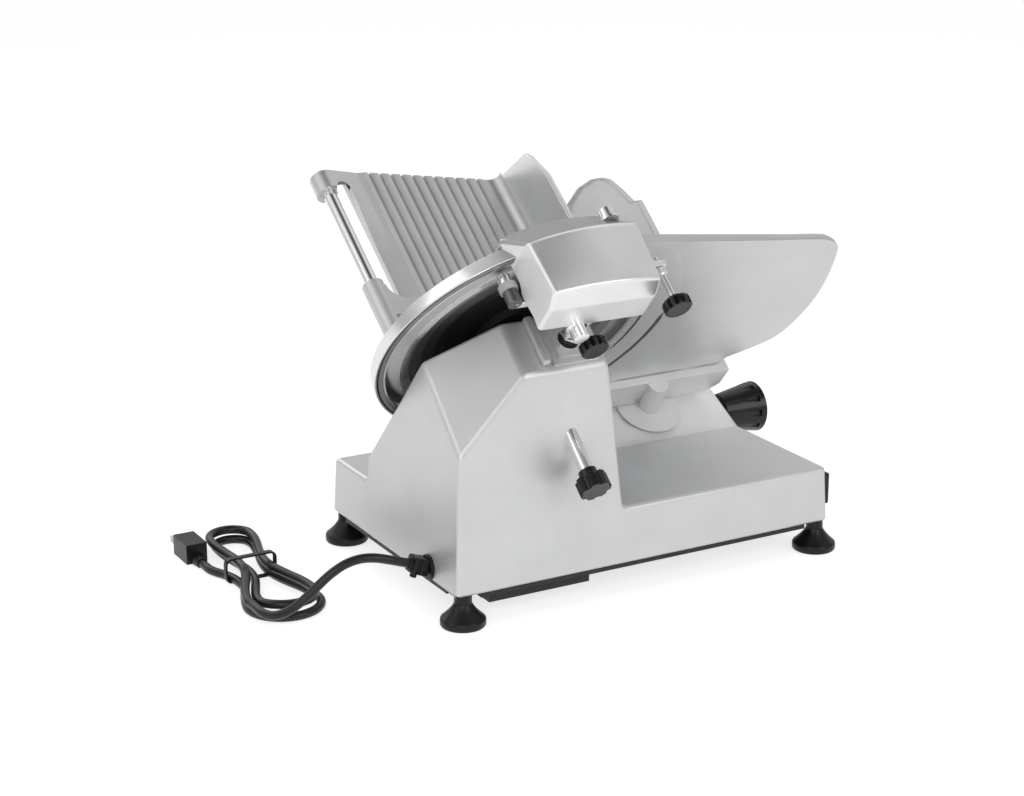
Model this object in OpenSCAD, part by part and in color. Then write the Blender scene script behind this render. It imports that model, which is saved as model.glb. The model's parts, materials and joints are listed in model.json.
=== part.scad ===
// Belt-driven food slicer with a leaning blade, gravity feed tray, gauge plate and sharpener.
// Machine frame: X runs from the slice side to the food side, Y from the operator to the rear, Z up from the
// underside of the base. The blade frame leans by the tilt: n along the blade axle, y as Y, u up the blade.

/* [Base] */
// Length of the base along Y
base_len = 425; // [405:1:450]
// Width of the base along X
base_wid = 273; // [266:1:290]
// Height of the slice platform
platform_h = 58; // [56:0.5:62]
// Casting wall thickness
wall = 5; // [4:0.5:6]
// Draft of the outer walls in degrees
draft = 2.4; // [1.5:0.1:3]
// X where the slope face starts
slope_start = 156; // [150:1:160]
// Rise of the slope face in degrees
slope_angle = 29; // [27:0.5:31]
// X where the slope face ends
slope_end = 236; // [234:1:240]
// Height of the feet
foot_h = 32; // [28:1:38]
// Radius of a foot where it stands
foot_r = 22; // [18:0.5:24]
// Radius of a foot's neck
foot_neck_r = 8.5; // [7:0.5:10]
// Distance of the feet from the left and rear walls
foot_inset = 12; // [11:0.5:16]
// Distance of the feet from the front and right walls
foot_edge = 7; // [6:0.5:12]
// Thickness of the bottom cover
cover_t = 4; // [2:0.5:5]
// Gap between the outer wall and the cover's edge
cover_inset = 2.5; // [2:0.5:4]
// Depth of the pan under the cover
pan_depth = 11; // [8:1:14]

/* [Tower] */
// Lean of the blade plane from vertical in degrees
tilt = 41; // [40:0.5:42]
// Distance of the tower's end face along the axle
tower_end = 201; // [199:0.5:203]
// Height of the tower's top face in the blade plane
tower_top = 148; // [146:0.5:151]
// Y of the tower's front edge at its top
tower_front = 258; // [254:1:262]
// Lean of the tower's front wall in degrees
tower_front_lean = 8.2; // [6:0.2:9]
// Y where the rear bevel meets the top face
tower_bevel_y = 349; // [344:1:354]
// Height where the rear bevel meets the rear wall
tower_bevel_u = 94; // [90:1:98]
// X of the short upright wall under the end face
tower_toe = 196; // [192:1:200]

/* [Blade] */
// Y of the blade axle
blade_y = 299.5; // [297:0.5:301]
// Height of the blade axle in the blade plane
blade_u = 99; // [97:0.5:100]
// Radius of the blade
blade_r = 150; // [147:0.5:150.5]
// Plane of the cutting edge along the axle
blade_plane = 225; // [224:0.5:226]
// Thickness of the blade's web
blade_web = 2.5; // [2:0.5:3]
// Radius of the fixed axle
axle_r = 15; // [13:0.5:16]
// Radius of the large pulley on the hub
hub_pulley_r = 37; // [34:0.5:38]
// Width of the belt
belt_w = 16; // [12:1:18]
// Radius of the blade cover plate
cover_plate_r = 108; // [100:1:112]
// How far the guard ring's outside stands beyond the blade's edge
ring_over = 4; // [3.5:0.5:6]
// Depth of the guard ring along the axle
ring_depth = 13; // [11:0.5:14]
// Width of the ring's back flange
ring_flange = 9.5; // [8:0.5:10]

/* [Tie rod] */
// Radius of the tie rod
tie_r = 7; // [5:0.5:7]
// Radius of the tie rod's knob
tie_knob_r = 15.5; // [14:0.5:18]
// Length of the tie rod's knob
tie_knob_len = 15; // [12:1:18]
// Where the knob starts along the axle
tie_knob_start = 49; // [46:1:54]

/* [Gauge] */
// Thickness of the gauge plate
gauge_t = 10; // [8:0.5:11]
// Gap between the blade's edge and the gauge plate's arc
gauge_gap = 8.5; // [7:0.5:10]
// Height of the support bar under the plate
bar_h = 38; // [32:1:40]
// Depth of the support bar along the axle
bar_t = 18; // [14:1:20]
// Radius of the gauge post
post_r = 11.5; // [9:0.5:12]
// Y of the gauge post
post_y = 94; // [90:1:98]
// Radius of the skirt that covers the post's slot
skirt_r = 35; // [32:0.5:38]
// Longest slice: travel of the gauge along the slope
gauge_travel = 12; // [8:1:12]
// Radius of the index knob's large end
index_r = 27.5; // [24:0.5:29]
// Length of the index knob
index_len = 46; // [40:1:50]

/* [Carriage] */
// Slope of the tray in degrees
tray_slope = 37; // [36:0.5:38]
// Height of the tray's surface over the tray frame's origin
tray_d = 60; // [57:0.5:62]
// Thickness of the tray
tray_t = 8; // [6:0.5:9]
// Y of the tray's fence side
tray_y0 = 200; // [196:1:204]
// Y of the tray's rod side
tray_y1 = 374; // [370:1:376]
// Lower end of the tray along its slope
tray_low = 232; // [231:1:238]
// Upper end of the tray at the rod side
tray_high = 475; // [465:1:480]
// Fall of the tray's top edge toward the fence in degrees
tray_fall = 12; // [8:1:14]
// Count of ribs on the tray
rib_count = 11; // [7:1:12]
// Height of the fence over the tray
fence_h = 80; // [60:1:90]
// Thickness of the fence
fence_t = 6; // [4:0.5:8]
// Radius of the pusher rod
rod_r = 7; // [6:0.5:8]
// Distance of the pusher rod from the tray's edge
rod_gap = 22; // [21:0.5:26]
// Travel of the pusher up its rod
pusher_travel = 110; // [80:1:112]
// Travel of the carriage toward the operator
carriage_fore = 205; // [180:1:210]
// Travel of the carriage toward the rear
carriage_aft = 55; // [40:1:58]
// Radius of the carriage rail
rail_r = 9; // [7:0.5:10]

/* [Sharpener] */
// Y of the sharpener housing's left end
sharp_y1 = 360; // [356:1:364]
// Y of the sharpener housing's right end
sharp_y0 = 248; // [244:1:250]
// How far the blade's top reaches up into the sharpener housing
sharp_dip = 26.5; // [25:0.5:28]
// Wall of the sharpener housing
sharp_wall = 4; // [3:0.5:4.5]
// Radius of the sharpener's post
sharp_post_r = 7.5; // [6:0.5:8]
// Travel of the push pins
pin_travel = 5; // [3:0.5:5]
// Radius of the fluted clamp knobs
clamp_r = 13.5; // [12:0.5:14]

/* [Cord] */
// Radius of the cord
cord_r = 4.5; // [3.5:0.1:4.6]
// Radius of the gland's flange
gland_r = 12.5; // [11:0.5:13]

/* [Hidden] */
$fn = 96;
eps = 0.5;
fit = 0.02;
run = 0.05;
gap = 0.3;
td = tan(draft);
far = 400;
high = 300;

// Blade stack along the axle
web_back = blade_plane - 5.5;
rim_back = blade_plane - 12;
rim_r = 124;
rim_wall = 7;
web_front = web_back + blade_web;
hub_flange_t = 8;
hub_flange_r = 52;
hub_start = tower_end - 63;
hub_sleeve_r = 33;
bearing_r = 27.5;
bearing_w = 13;
pulley_mid = hub_start + 17;
pulley_w = belt_w + 6;
axle_start = tower_end - 91;
axle_seat = 25;
axle_end = blade_plane + 2;
ring_back = blade_plane - 1.5 - ring_depth;
ring_gap = 1.5;
ring_r = blade_r + ring_over;
ring_from = 236;
ring_to = 428;
screw_r = 3;
blade_screw_pcd = 80;

// Motor
motor_y = (tower_front + base_len) / 2 - 6.5;
motor_u = 2;
motor_r = 48;
motor_start = 70;
motor_plate_n = 120;
motor_plate_t = 5;
motor_shaft_r = 7;
motor_pulley_r = 16;
motor_boss = [[motor_y - 50, -35], [motor_y + 50, -35], [motor_y + 50, 45]];
plate_half = [57, 56];
boss_r = 7;
belt_t = 3;

// Gauge: outline in the blade plane, slope frame places
gauge_back = blade_plane - gauge_t;
gauge_low = -23;
gauge_front = -57;
gauge_arc = blade_r + gauge_gap;
gauge_line = 1.6;
bar_top = gauge_low - gauge_line;
bar_back = blade_plane - 1 - bar_t;
bar_y0 = 6;
bar_y1 = 190;
post_x = 43.4;
skirt_flat = post_x - gauge_travel - gap;
skirt_lift = (skirt_r - skirt_flat) * tan(slope_angle);
slide_half = 15;
slide_top = -12;
slide_low = -42;
gauge_rod_z = -28;
gauge_rod_r = 5;
gauge_rod_len = 66;
index_x = 205;
index_z = 58;
index_shaft_r = 5;
cam_y = 60;
cam_t = 6;
cam_min = 6;
cam_turn = 300;
follower_r = 3;
slide_y0 = post_y - 18;
slide_y1 = post_y + 18;

// Carriage
rail_x = 248;
rail_z = 30;
block_y0 = 262;
block_y1 = 318;
arm_y0 = 277;
arm_y1 = 303;
arm_x0 = base_wid + 5;
arm_x1 = arm_x0 + 26;
arm_z0 = 22;
arm_z1 = 40;
tray_under = tray_d - tray_t;
rod_d = tray_d - 2;
rod_y = tray_y1 + rod_gap;
boss_low = 240;
boss_len = 22;
boss_tr = 13;
sleeve_gap = 3;
sleeve_len = 68;
sleeve_a0 = boss_low + boss_len + sleeve_gap;
sleeve_a1 = sleeve_a0 + sleeve_len;
sleeve_t = 1.6;
press_a0 = sleeve_a0 + 2;
press_a1 = sleeve_a1 - 2;
press_t = 2.4;
beam_a0 = 284;
beam_w = 18;
web_r = 20;
rib_r = 9;
rib_h = 2;
rib_y0 = 235;
rib_y1 = 350;
guard_y = 150;
guard_t = 4;

// Sharpener
sharp_u = blade_u + blade_r - sharp_dip;
post_n = 171;
post_yy = 290;
bracket_t = 5;
sharp_mid_y = (sharp_y0 + sharp_y1) / 2;
sharp_belt = 27.5;
sharp_slot_h = 22;
grind_arm_n = 191;
grind_arm_t = 5;
grind_y = post_yy + 22;
grind_u = sharp_u - 10.5;
grind_r = 7;
stone_y = sharp_y1 + 8;
stone_u = sharp_u - 7.5;
stone_r = 9;
stone_spindle_r = 3;
stone_h = 8;
stone_n = grind_arm_n + grind_arm_t + 1;
hone_y = sharp_y0 + 2;
hone_u = sharp_u + 9.5;
hone_r = 6;
hone_stone_r = 7.5;
hone_tip = 253;
hone_in = 231;
hone_travel = 2;
clamp_u = sharp_u - 28.5;
clamp_y = post_yy + 7;
clamp_n = 133;
stop_n = 122;
stop_y = sharp_y0 - 13;
stop_rise = 30.5;
stop_u = sharp_u + stop_rise;
lug_low = sharp_u - 34.5;
knob_len = 11;
stud_r = 3;

// Cord route points: X, distance behind the base, Z
lead_route = [[59, 20, 20], [59, 29, 23.3], [59.5, 41, 27.5], [61, 55, 31.5], [63, 69, 32.5], [65, 83, 29.5],
    [67, 96, 22.5], [69, 108, 13], [71, 119, 3], [74, 130, -6], [79, 140, -13], [87, 148, -17],
    [98, 153, -17.9], [110, 154, -17.9], [125, 154, -17.9]];
tail_route = [[196, 134.5], [207, 134.5], [218, 136], [229, 139.5], [239, 144], [248, 146.6], [257, 147],
    [267, 147]];
lead_points = [for (p = lead_route) p + [0, base_len, 0]];
gland_x = 59;
gland_z = 12.5;
gland_rise = 20;
gland_len = 18;
hank_x = 216;
hank_y = base_len + 116;
hank_half = 120;
hank_bend = 38;
hank_draw = 15;
hank_taper = 12;
hank_lean = 14;
hank_end = 52;
hank_step = 11.2;
hank_layer = 9.6;
hank_run_share = 0.27;
hank_turns = 2 + hank_run_share * hank_end / (2 * (hank_half - hank_bend));
hank_low = cord_r - foot_h;
loop_rings = 24;
hank_lead_in = 9;
plug_len = 50;

// Half of the part's extent, so that the origin is under the middle of the part
x_low = stop_n * cos(tilt) - (stop_u + clamp_r) * sin(tilt);
x_high = (tray_high - 1) * cos(tray_slope) - (rod_d - boss_tr) * sin(tray_slope);
y_low = gauge_front;
y_high = blade_y + ring_r;
origin_x = (x_low + x_high) / 2;
origin_y = (y_low + y_high) / 2;

// Frames and placing helpers
module machine() translate([-origin_x, -origin_y, foot_h]) children();
module tilted() rotate([0, -tilt, 0]) children();
module along_n(y, u, n) tilted() translate([n, y, u]) rotate([0, 90, 0]) children();
module on_axle(n = 0) along_n(blade_y, blade_u, n) children();
module plate_n(n0, n1) tilted() rotate([90, 0, 90]) translate([0, 0, n0]) linear_extrude(n1 - n0) children();
module slab_y(y0, y1) rotate([90, 0, 0]) translate([0, 0, -y1]) linear_extrude(y1 - y0) children();
module along_y(x, z, y0, y1) translate([x, y1, z]) rotate([90, 0, 0]) cylinder(h = y1 - y0, r = $r);
module tray_frame() rotate([0, -tray_slope, 0]) children();
module slope_frame() translate([slope_start, 0, platform_h]) rotate([0, -slope_angle, 0]) children();
module rod_x(p, len, r) translate(p) rotate([0, 90, 0]) cylinder(h = len, r = r);
module rod_u(n, y, u0, u1, r) tilted() translate([n, y, u0]) cylinder(h = u1 - u0, r = r);
module post_z(p, z0, h, r) translate([p[0], p[1], z0]) cylinder(h = h, r = r);
module rod_n(y, u, n0, n1, r) along_n(y, u, n0) cylinder(h = n1 - n0, r = r);
module box(x0, x1, y0, y1, z0, z1) translate([x0, y0, z0]) cube([x1 - x0, y1 - y0, z1 - z0]);
function slope_z(x) = platform_h + (x - slope_start) * tan(slope_angle);
function rear_wall(z) = base_len - z * td;

// Base casting: outer form inset by o, from height z0
module drafted_block(o, z0) {
    intersection() {
        slab_y(-1, base_len + 1)
            polygon([[o + z0 * td, z0], [base_wid - o - z0 * td, z0], [base_wid - o - high * td, high],
                [o + high * td, high]]);
        rotate([90, 0, 90]) linear_extrude(base_wid)
            polygon([[o + z0 * td, z0], [base_len - o - z0 * td, z0], [base_len - o - high * td, high],
                [o + high * td, high]]);
    }
}

function tower_front_y(u) = tower_front - (tower_top - u) * tan(tower_front_lean);

module tower_outline(o) {
    foot_u = -200;
    bevel_inset = 0.6 * o;
    polygon([[tower_front_y(foot_u) + o, foot_u], [tower_front_y(tower_top) + o, tower_top - o],
        [tower_bevel_y - bevel_inset, tower_top - o], [base_len - o, tower_bevel_u - bevel_inset],
        [base_len - o, foot_u]]);
}

module base_form(o, z0 = 0) {
    drop = o / cos(slope_angle);
    intersection() {
        drafted_block(o, z0);
        union() {
            box(-1, base_wid + 1, -1, base_len + 1, z0, platform_h - o);
            slab_y(-1, tower_front)
                polygon([[slope_start, z0], [slope_start, platform_h - drop],
                    [slope_end - o, slope_z(slope_end - o) - drop], [slope_end - o, z0]]);
            intersection() {
                plate_n(-100, tower_end - o) tower_outline(o);
                box(-1, tower_toe - o, -1, base_len + 1, z0, high);
            }
        }
    }
}

foot_places = [for (y = [foot_edge, base_len - foot_inset], x = [foot_inset, base_wid - foot_edge]) [x, y]];
cover_screw_places = [[11, 130], [11, base_len - 175], [90, 11], [130, base_len - 11]];
cover_screw_r = 2;
corner_boss_h = 14;

module base_bosses() {
    for (p = foot_places) post_z(p, 0, corner_boss_h, foot_neck_r + 3);
    for (p = cover_screw_places) post_z(p, 0, corner_boss_h, boss_r);
    along_y(rail_x, rail_z, 0, 20, $r = rail_r + 4);
    along_y(rail_x, rail_z, base_len - 20, base_len, $r = rail_r + 4);
    rod_n(blade_y, blade_u, 0, axle_start + axle_seat, axle_r + 10);
    for (p = motor_boss) rod_n(p[0], p[1], motor_plate_n + motor_plate_t, tower_end - 1, boss_r);
    slope_frame() for (x = [[0, 8], [60, 66]]) box(x[0], x[1], post_y - 14, post_y + 14, -40, -1);
}

module post_slot() {
    half = post_r + gap + 0.5;
    slope_frame() {
        for (x = [post_x - gauge_travel, post_x]) post_z([x, post_y], -wall - 2, wall + 4, half);
        box(post_x - gauge_travel, post_x, post_y - half, post_y + half, -wall - 2, 2);
    }
}

module base_housing() color("silver") machine() difference() {
    union() {
        difference() {
            base_form(0);
            base_form(wall, -1);
        }
        intersection() {
            base_form(1);
            base_bosses();
        }
    }
    rod_n(blade_y, blade_u, -50, axle_start + 1, tie_r + run);
    rod_n(blade_y, blade_u, axle_start, axle_start + axle_seat + 1, axle_r + fit);
    rod_n(blade_y, blade_u, tower_end - wall - 2, tower_end + 2, hub_sleeve_r + 3);
    post_slot();
    box(base_wid - 15, base_wid + 5, arm_y0 - carriage_fore - 6, arm_y1 + carriage_aft + 6,
        arm_z0 - 5, arm_z1 + 5);
    along_y(index_x, index_z, -5, 20, $r = index_shaft_r + run);
    translate([gland_x, rear_wall(gland_z), gland_z]) rotate([-90 + draft, 0, 0]) translate([0, 0, -15])
        cylinder(h = 20, r = gland_neck_r + fit);
    along_y(rail_x, rail_z, wall + 2, base_len - wall - 2, $r = rail_r + fit);
    slope_frame() rod_x([-eps, post_y, gauge_rod_z], gauge_rod_len + 2, gauge_rod_r + fit);
    for (p = cover_screw_places) post_z(p, -1, 11, cover_screw_r + fit);
    for (x = [start_x, stop_x]) along_y(x, button_z, -5, 20, $r = button_stem_r + 2);
}

// Bottom cover with its pan, feet and screws
pan = [12, 120, base_len - 150, base_len - 40];
notch = foot_inset + foot_neck_r + 6;

module bottom_cover() color("dimgray") machine() difference() {
    union() {
        box(cover_inset, base_wid - cover_inset, cover_inset, base_len - cover_inset, -cover_t, 0);
        box(pan[0], pan[1], pan[2], pan[3], -cover_t - pan_depth, -cover_t + eps);
    }
    box(pan[0] + 2, pan[1] - 2, pan[2] + 2, pan[3] - 2, -cover_t - pan_depth + 2, 1);
    for (x = [[-1, notch], [base_wid - notch, base_wid + 1]])
        for (y = [[-1, notch], [base_len - notch, base_len + 1]])
            box(x[0], x[1], y[0], y[1], -cover_t - 1, 1);
    for (p = cover_screw_places) post_z(p, -cover_t - 1, cover_t + 2, cover_screw_r + fit);
}

module foot(p) {
    rim = 7;
    neck_h = 9;
    steps = 8;
    edge = 2.5;
    bell_h = foot_h - rim - neck_h;
    bell = [for (i = [0 : steps]) [foot_neck_r + (foot_r - foot_neck_r) * pow(1 - i / steps, 1.25),
        -foot_h + rim + bell_h * i / steps]];
    translate([p[0], p[1], 0]) rotate_extrude()
        polygon(concat([[0, -foot_h], [foot_r - edge, -foot_h], [foot_r, -foot_h + edge]], bell,
            [[foot_neck_r, 0], [0, 0]]));
}

module foot_front_left() color("black") machine() foot(foot_places[0]);
module foot_front_right() color("black") machine() foot(foot_places[1]);
module foot_rear_left() color("black") machine() foot(foot_places[2]);
module foot_rear_right() color("black") machine() foot(foot_places[3]);

module cover_screws() color("gray") machine() for (p = cover_screw_places) {
    post_z(p, -cover_t - 2, 2, cover_screw_r + 1.5);
    post_z(p, -cover_t - 1, cover_t + 10, cover_screw_r);
}

// Switch housing with start and stop buttons on the front wall
switch_x = [8, 78];
switch_z = [15.5, 48];
switch_out = 7;
start_x = 26;
stop_x = 58;
button_z = 31;
button_r = 9;
button_stem_r = 4;
button_out = 2.5;
button_travel = 2;
button_floor = 1.5;

module switch_housing() color("black") machine() difference() {
    rotate([90, 0, 90]) translate([0, 0, switch_x[0]]) linear_extrude(switch_x[1] - switch_x[0])
        polygon([[-switch_out, switch_z[0]], [switch_z[0] * td, switch_z[0]], [switch_z[1] * td, switch_z[1]],
            [-switch_out, switch_z[1]]]);
    for (x = [start_x, stop_x]) {
        along_y(x, button_z, -switch_out - 1, -button_floor, $r = button_r + gap);
        along_y(x, button_z, -5, 5, $r = button_stem_r + gap);
    }
}

module button(x) {
    along_y(x, button_z, -switch_out - button_out, -button_floor - button_travel - 0.5, $r = button_r);
    along_y(x, button_z, -6, 8, $r = button_stem_r);
}

module start_button() color("green") machine() button(start_x);
module stop_button() color("red") machine() button(stop_x);

// Drive: stator, plate, capacitor, rotor, pulleys and belt
module motor_stator() color("dimgray") machine() along_n(motor_y, motor_u, 0) difference() {
    translate([0, 0, motor_start]) cylinder(h = motor_plate_n - motor_start, r = motor_r);
    translate([0, 0, motor_start + 8]) cylinder(h = motor_plate_n - motor_start - 16, r = 31);
    translate([0, 0, motor_start + 3]) cylinder(h = motor_plate_n - motor_start, r = motor_shaft_r + run);
}

module motor_plate() color("gray") machine() difference() {
    plate_n(motor_plate_n, motor_plate_n + motor_plate_t) translate([motor_y - plate_half[0], -plate_half[1]])
        square(2 * plate_half);
    rod_n(motor_y, motor_u, motor_plate_n - 1, motor_plate_n + motor_plate_t + 1, motor_shaft_r + 3);
}

module capacitor() color("black") machine() along_y(75, 18 + gap, 60, 130, $r = 18);

module motor_rotor() color("silver") machine() {
    rod_n(motor_y, motor_u, motor_start + 10, motor_plate_n - 10, 30);
    rod_n(motor_y, motor_u, motor_start + 4, pulley_mid + pulley_w / 2 + 2, motor_shaft_r);
}

module motor_pulley() color("gray") machine() difference() {
    rod_n(motor_y, motor_u, pulley_mid - pulley_w / 2, pulley_mid + pulley_w / 2, motor_pulley_r);
    rod_n(motor_y, motor_u, pulley_mid - pulley_w, pulley_mid + pulley_w, motor_shaft_r + fit);
}

module belt_loop(extra) hull() {
    translate([blade_y, blade_u]) circle(r = hub_pulley_r + extra);
    translate([motor_y, motor_u]) circle(r = motor_pulley_r + extra);
}

module drive_belt() color("black") machine() plate_n(pulley_mid - belt_w / 2, pulley_mid + belt_w / 2)
    difference() {
        belt_loop(gap + belt_t, $fn = 48);
        belt_loop(gap, $fn = 48);
    }

// Blade, hub, bearings, axle, ring, cover plate
module blade() color("silver") machine() on_axle() difference() {
    rotate_extrude($fn = 180)
        polygon([[axle_r + 3, web_back], [rim_r - rim_wall, web_back], [rim_r, rim_back],
            [rim_r + 4, rim_back], [blade_r - 4, blade_plane - 3], [blade_r, blade_plane],
            [blade_r - 5, blade_plane - 0.6],
            [0.8 * blade_r, web_front], [axle_r + 3, web_front]]);
    blade_screw_holes(screw_r + fit);
}

module blade_screw_holes(r) for (a = [45 : 90 : 315]) rotate([0, 0, a])
    translate([blade_screw_pcd / 2, 0, web_back - hub_flange_t + 1]) cylinder(h = 30, r = r);

module blade_hub() color("gray") machine() on_axle() difference() {
    rotate_extrude()
        polygon([[20, hub_start], [hub_sleeve_r, hub_start], [hub_sleeve_r, pulley_mid - pulley_w / 2],
            [hub_pulley_r, pulley_mid - pulley_w / 2], [hub_pulley_r, pulley_mid + pulley_w / 2],
            [hub_sleeve_r, pulley_mid + pulley_w / 2], [hub_sleeve_r, web_back - hub_flange_t],
            [hub_flange_r, web_back - hub_flange_t], [hub_flange_r, web_back], [20, web_back]]);
    translate([0, 0, hub_start - 1]) cylinder(h = bearing_w + 1, r = bearing_r + fit);
    translate([0, 0, web_back - hub_flange_t - bearing_w]) cylinder(h = far, r = bearing_r + fit);
    blade_screw_holes(screw_r + fit);
}

module bearing(n) translate([0, 0, n]) difference() {
    cylinder(h = bearing_w, r = bearing_r);
    translate([0, 0, -1]) cylinder(h = bearing_w + 2, r = axle_r + run);
}

module hub_bearings() color("silver") machine() on_axle() {
    bearing(hub_start);
    bearing(web_back - hub_flange_t - bearing_w);
}

module blade_screws() color("gray") machine() on_axle() for (a = [45 : 90 : 315]) rotate([0, 0, a])
    translate([blade_screw_pcd / 2, 0, 0]) {
        post_z([0, 0], web_back - hub_flange_t + 2, hub_flange_t + blade_web - 1, screw_r);
        post_z([0, 0], web_front, 2.5, screw_r + 2);
    }

module blade_axle() color("silver") machine() on_axle(axle_start) difference() {
    cylinder(h = axle_end - axle_start, r = axle_r);
    translate([0, 0, -1]) cylinder(h = far, r = tie_r + 0.5);
}

module ring_guard() color("silver") machine() on_axle() {
    rotate([0, 0, ring_from + 90]) rotate_extrude(angle = ring_to - ring_from, $fn = 180)
        polygon([[ring_r - ring_flange, ring_back], [ring_r, ring_back], [ring_r, ring_back + ring_depth],
            [blade_r + ring_gap, ring_back + ring_depth], [blade_r + ring_gap, ring_back + 4],
            [ring_r - ring_flange, ring_back + 4]]);
    for (a = [260, 285, 310]) rotate([0, 0, a + 90]) translate([ring_r - ring_flange / 2, 0, tower_end])
        cylinder(h = ring_back + 1 - tower_end, r = 7);
}

module blade_cover() color("silver") machine() on_axle() difference() {
    rotate_extrude($fn = 180)
        polygon([[tie_r + run, axle_end], [cover_plate_r - 12, axle_end], [cover_plate_r - 6, axle_end - 3],
            [cover_plate_r, axle_end - 3], [cover_plate_r, axle_end], [cover_plate_r - 8, axle_end + 4],
            [tie_r + run, axle_end + 4]]);
}

module tie_rod() color("silver") machine() {
    rod_n(blade_y, blade_u, tie_knob_start + tie_collar, axle_end + 3.5, tie_r);
}

module fluted(len, r, count, flute_r) difference() {
    cylinder(h = len, r = r);
    for (i = [0 : count - 1]) rotate([0, 0, (i + 0.5) * 360 / count])
        translate([r + 0.45 * flute_r, 0, -1]) cylinder(h = len + 2, r = flute_r, $fn = 24);
}

tie_collar = 8;

module tie_knob() color("black") machine() on_axle(tie_knob_start - tie_knob_len) {
    fluted(tie_knob_len, tie_knob_r, 7, 4);
    cylinder(h = tie_knob_len + tie_collar, r = tie_r + 2);
}

// Gauge plate, bar, post, skirt and slide
module gauge_outline() {
    difference() {
        polygon([[240, gauge_low], [15, gauge_low], [10, -14], [-22, 0], [-41, 14], [-52, 40],
            [gauge_front, 75], [-41, 163], [-35, 174.5], [-22, 184.5], [-8, 190], [225, 229.5], [240, 232]]);
        translate([blade_y, blade_u]) circle(r = gauge_arc, $fn = 180);
        translate([tower_front_y(tower_top) - 29, gauge_low - 1]) square([far, far]);
    }
}

module gauge_plate() color("silver") machine() plate_n(gauge_back, blade_plane) gauge_outline();

module gauge_bar() color("silver") machine() {
    nose = 12;
    plate_n(bar_back, bar_back + bar_t)
        polygon([[bar_y0 + nose, bar_top - bar_h], [bar_y1, bar_top - bar_h], [bar_y1, bar_top],
            [bar_y0, bar_top], [bar_y0, bar_top - bar_h + nose]]);
    for (y = [45, 140]) plate_n(gauge_back + 1, blade_plane - 2)
        translate([y, bar_top - 1]) square([20, gauge_line + 1]);
}

module gauge_post() color("silver") machine() difference() {
    slope_frame() translate([post_x, post_y, slide_top]) cylinder(h = 70, r = post_r);
    plate_n(bar_back, bar_back + far) translate([0, -far]) square([far, 2 * far]);
    plate_n(0, far) translate([0, bar_top - 4]) square([far, far]);
}

module gauge_skirt() color("gainsboro") machine() slope_frame() translate([post_x, post_y, gap])
    rotate_extrude()
        polygon([[post_r + fit, 0], [skirt_flat, 0], [skirt_r, skirt_lift], [skirt_r, skirt_lift + 0.8],
            [post_r + 6, 4.4], [post_r + fit, 5.4]]);

module gauge_slide() color("gray") machine() slope_frame() difference() {
    union() {
        box(post_x - slide_half, post_x + slide_half, slide_y0, slide_y1, slide_low, slide_top);
        along_y(cam_center[0] - cam_min - follower_r - gap, cam_center[1], cam_y - 1, slide_y0 + 1,
            $r = follower_r);
    }
    rod_x([post_x - slide_half - 1, post_y, gauge_rod_z], 2 * slide_half + 2, gauge_rod_r + run);
}

module gauge_rod() color("silver") machine() slope_frame()
    rod_x([0, post_y, gauge_rod_z], gauge_rod_len, gauge_rod_r);

// Index knob, shaft and spiral cam; the cam's place in the slope frame
cam_center = [(index_x - slope_start) * cos(slope_angle) + (index_z - platform_h) * sin(slope_angle),
    (index_z - platform_h) * cos(slope_angle) - (index_x - slope_start) * sin(slope_angle)];
cam_points = [for (a = [0 : 10 : cam_turn]) let (r = cam_min + gauge_travel * a / cam_turn)
    [r * cos(180 + a), r * sin(180 + a)]];

module index_shaft() color("silver") machine() {
    along_y(index_x, index_z, -20, cam_y + 1, $r = index_shaft_r);
    slope_frame() translate([cam_center[0], cam_y + cam_t, cam_center[1]]) rotate([90, 0, 0])
        linear_extrude(cam_t) polygon(cam_points);
}

module index_knob() color("black") machine() translate([index_x, -4, index_z]) rotate([90, 0, 0])
    difference() {
        cylinder(h = index_len, r1 = index_r - 8, r2 = index_r);
        for (i = [0 : 9]) rotate([0, 0, i * 36]) translate([index_r + 0.5, 0, 10])
            cylinder(h = index_len - 16, r = 4, $fn = 24);
        translate([0, 0, -1]) cylinder(h = 17, r = index_shaft_r + fit);
    }

// Carriage: tray, fence, rod, arm, slide, handle and hand guard
function tray_top(y) = tray_high - (tray_y1 - 22 - y) * tan(tray_fall);

module tray_outline() polygon([[tray_low, tray_y0 + fence_t],
    [tray_top(tray_y0 + fence_t), tray_y0 + fence_t], [tray_high, tray_y1 - 22], [tray_high, tray_y1],
    [tray_low, tray_y1]]);

module rod_bosses() for (b = [[boss_low, boss_tr - 2.5], [tray_high - boss_len - 1, boss_tr]]) {
    rod_x([b[0], rod_y, rod_d], boss_len, b[1]);
    box(b[0], b[0] + boss_len, tray_y1 - 8, rod_y, tray_under, rod_d);
}

module carriage_tray() color("silver") machine() tray_frame() difference() {
    union() {
        translate([0, 0, tray_under]) linear_extrude(tray_t) tray_outline();
        intersection() {
            translate([0, 0, tray_under + 1]) linear_extrude(tray_t + rib_r) tray_outline();
            for (i = [0 : rib_count - 1]) let (y = rib_y0 + i * (rib_y1 - rib_y0) / (rib_count - 1))
                rod_x([tray_low - 1, y, tray_d + rib_h - rib_r], far, rib_r);
        }
        rod_bosses();
    }
    rod_x([boss_low + 4, rod_y, rod_d], tray_high - boss_low - 9, rod_r + fit);
}

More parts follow.
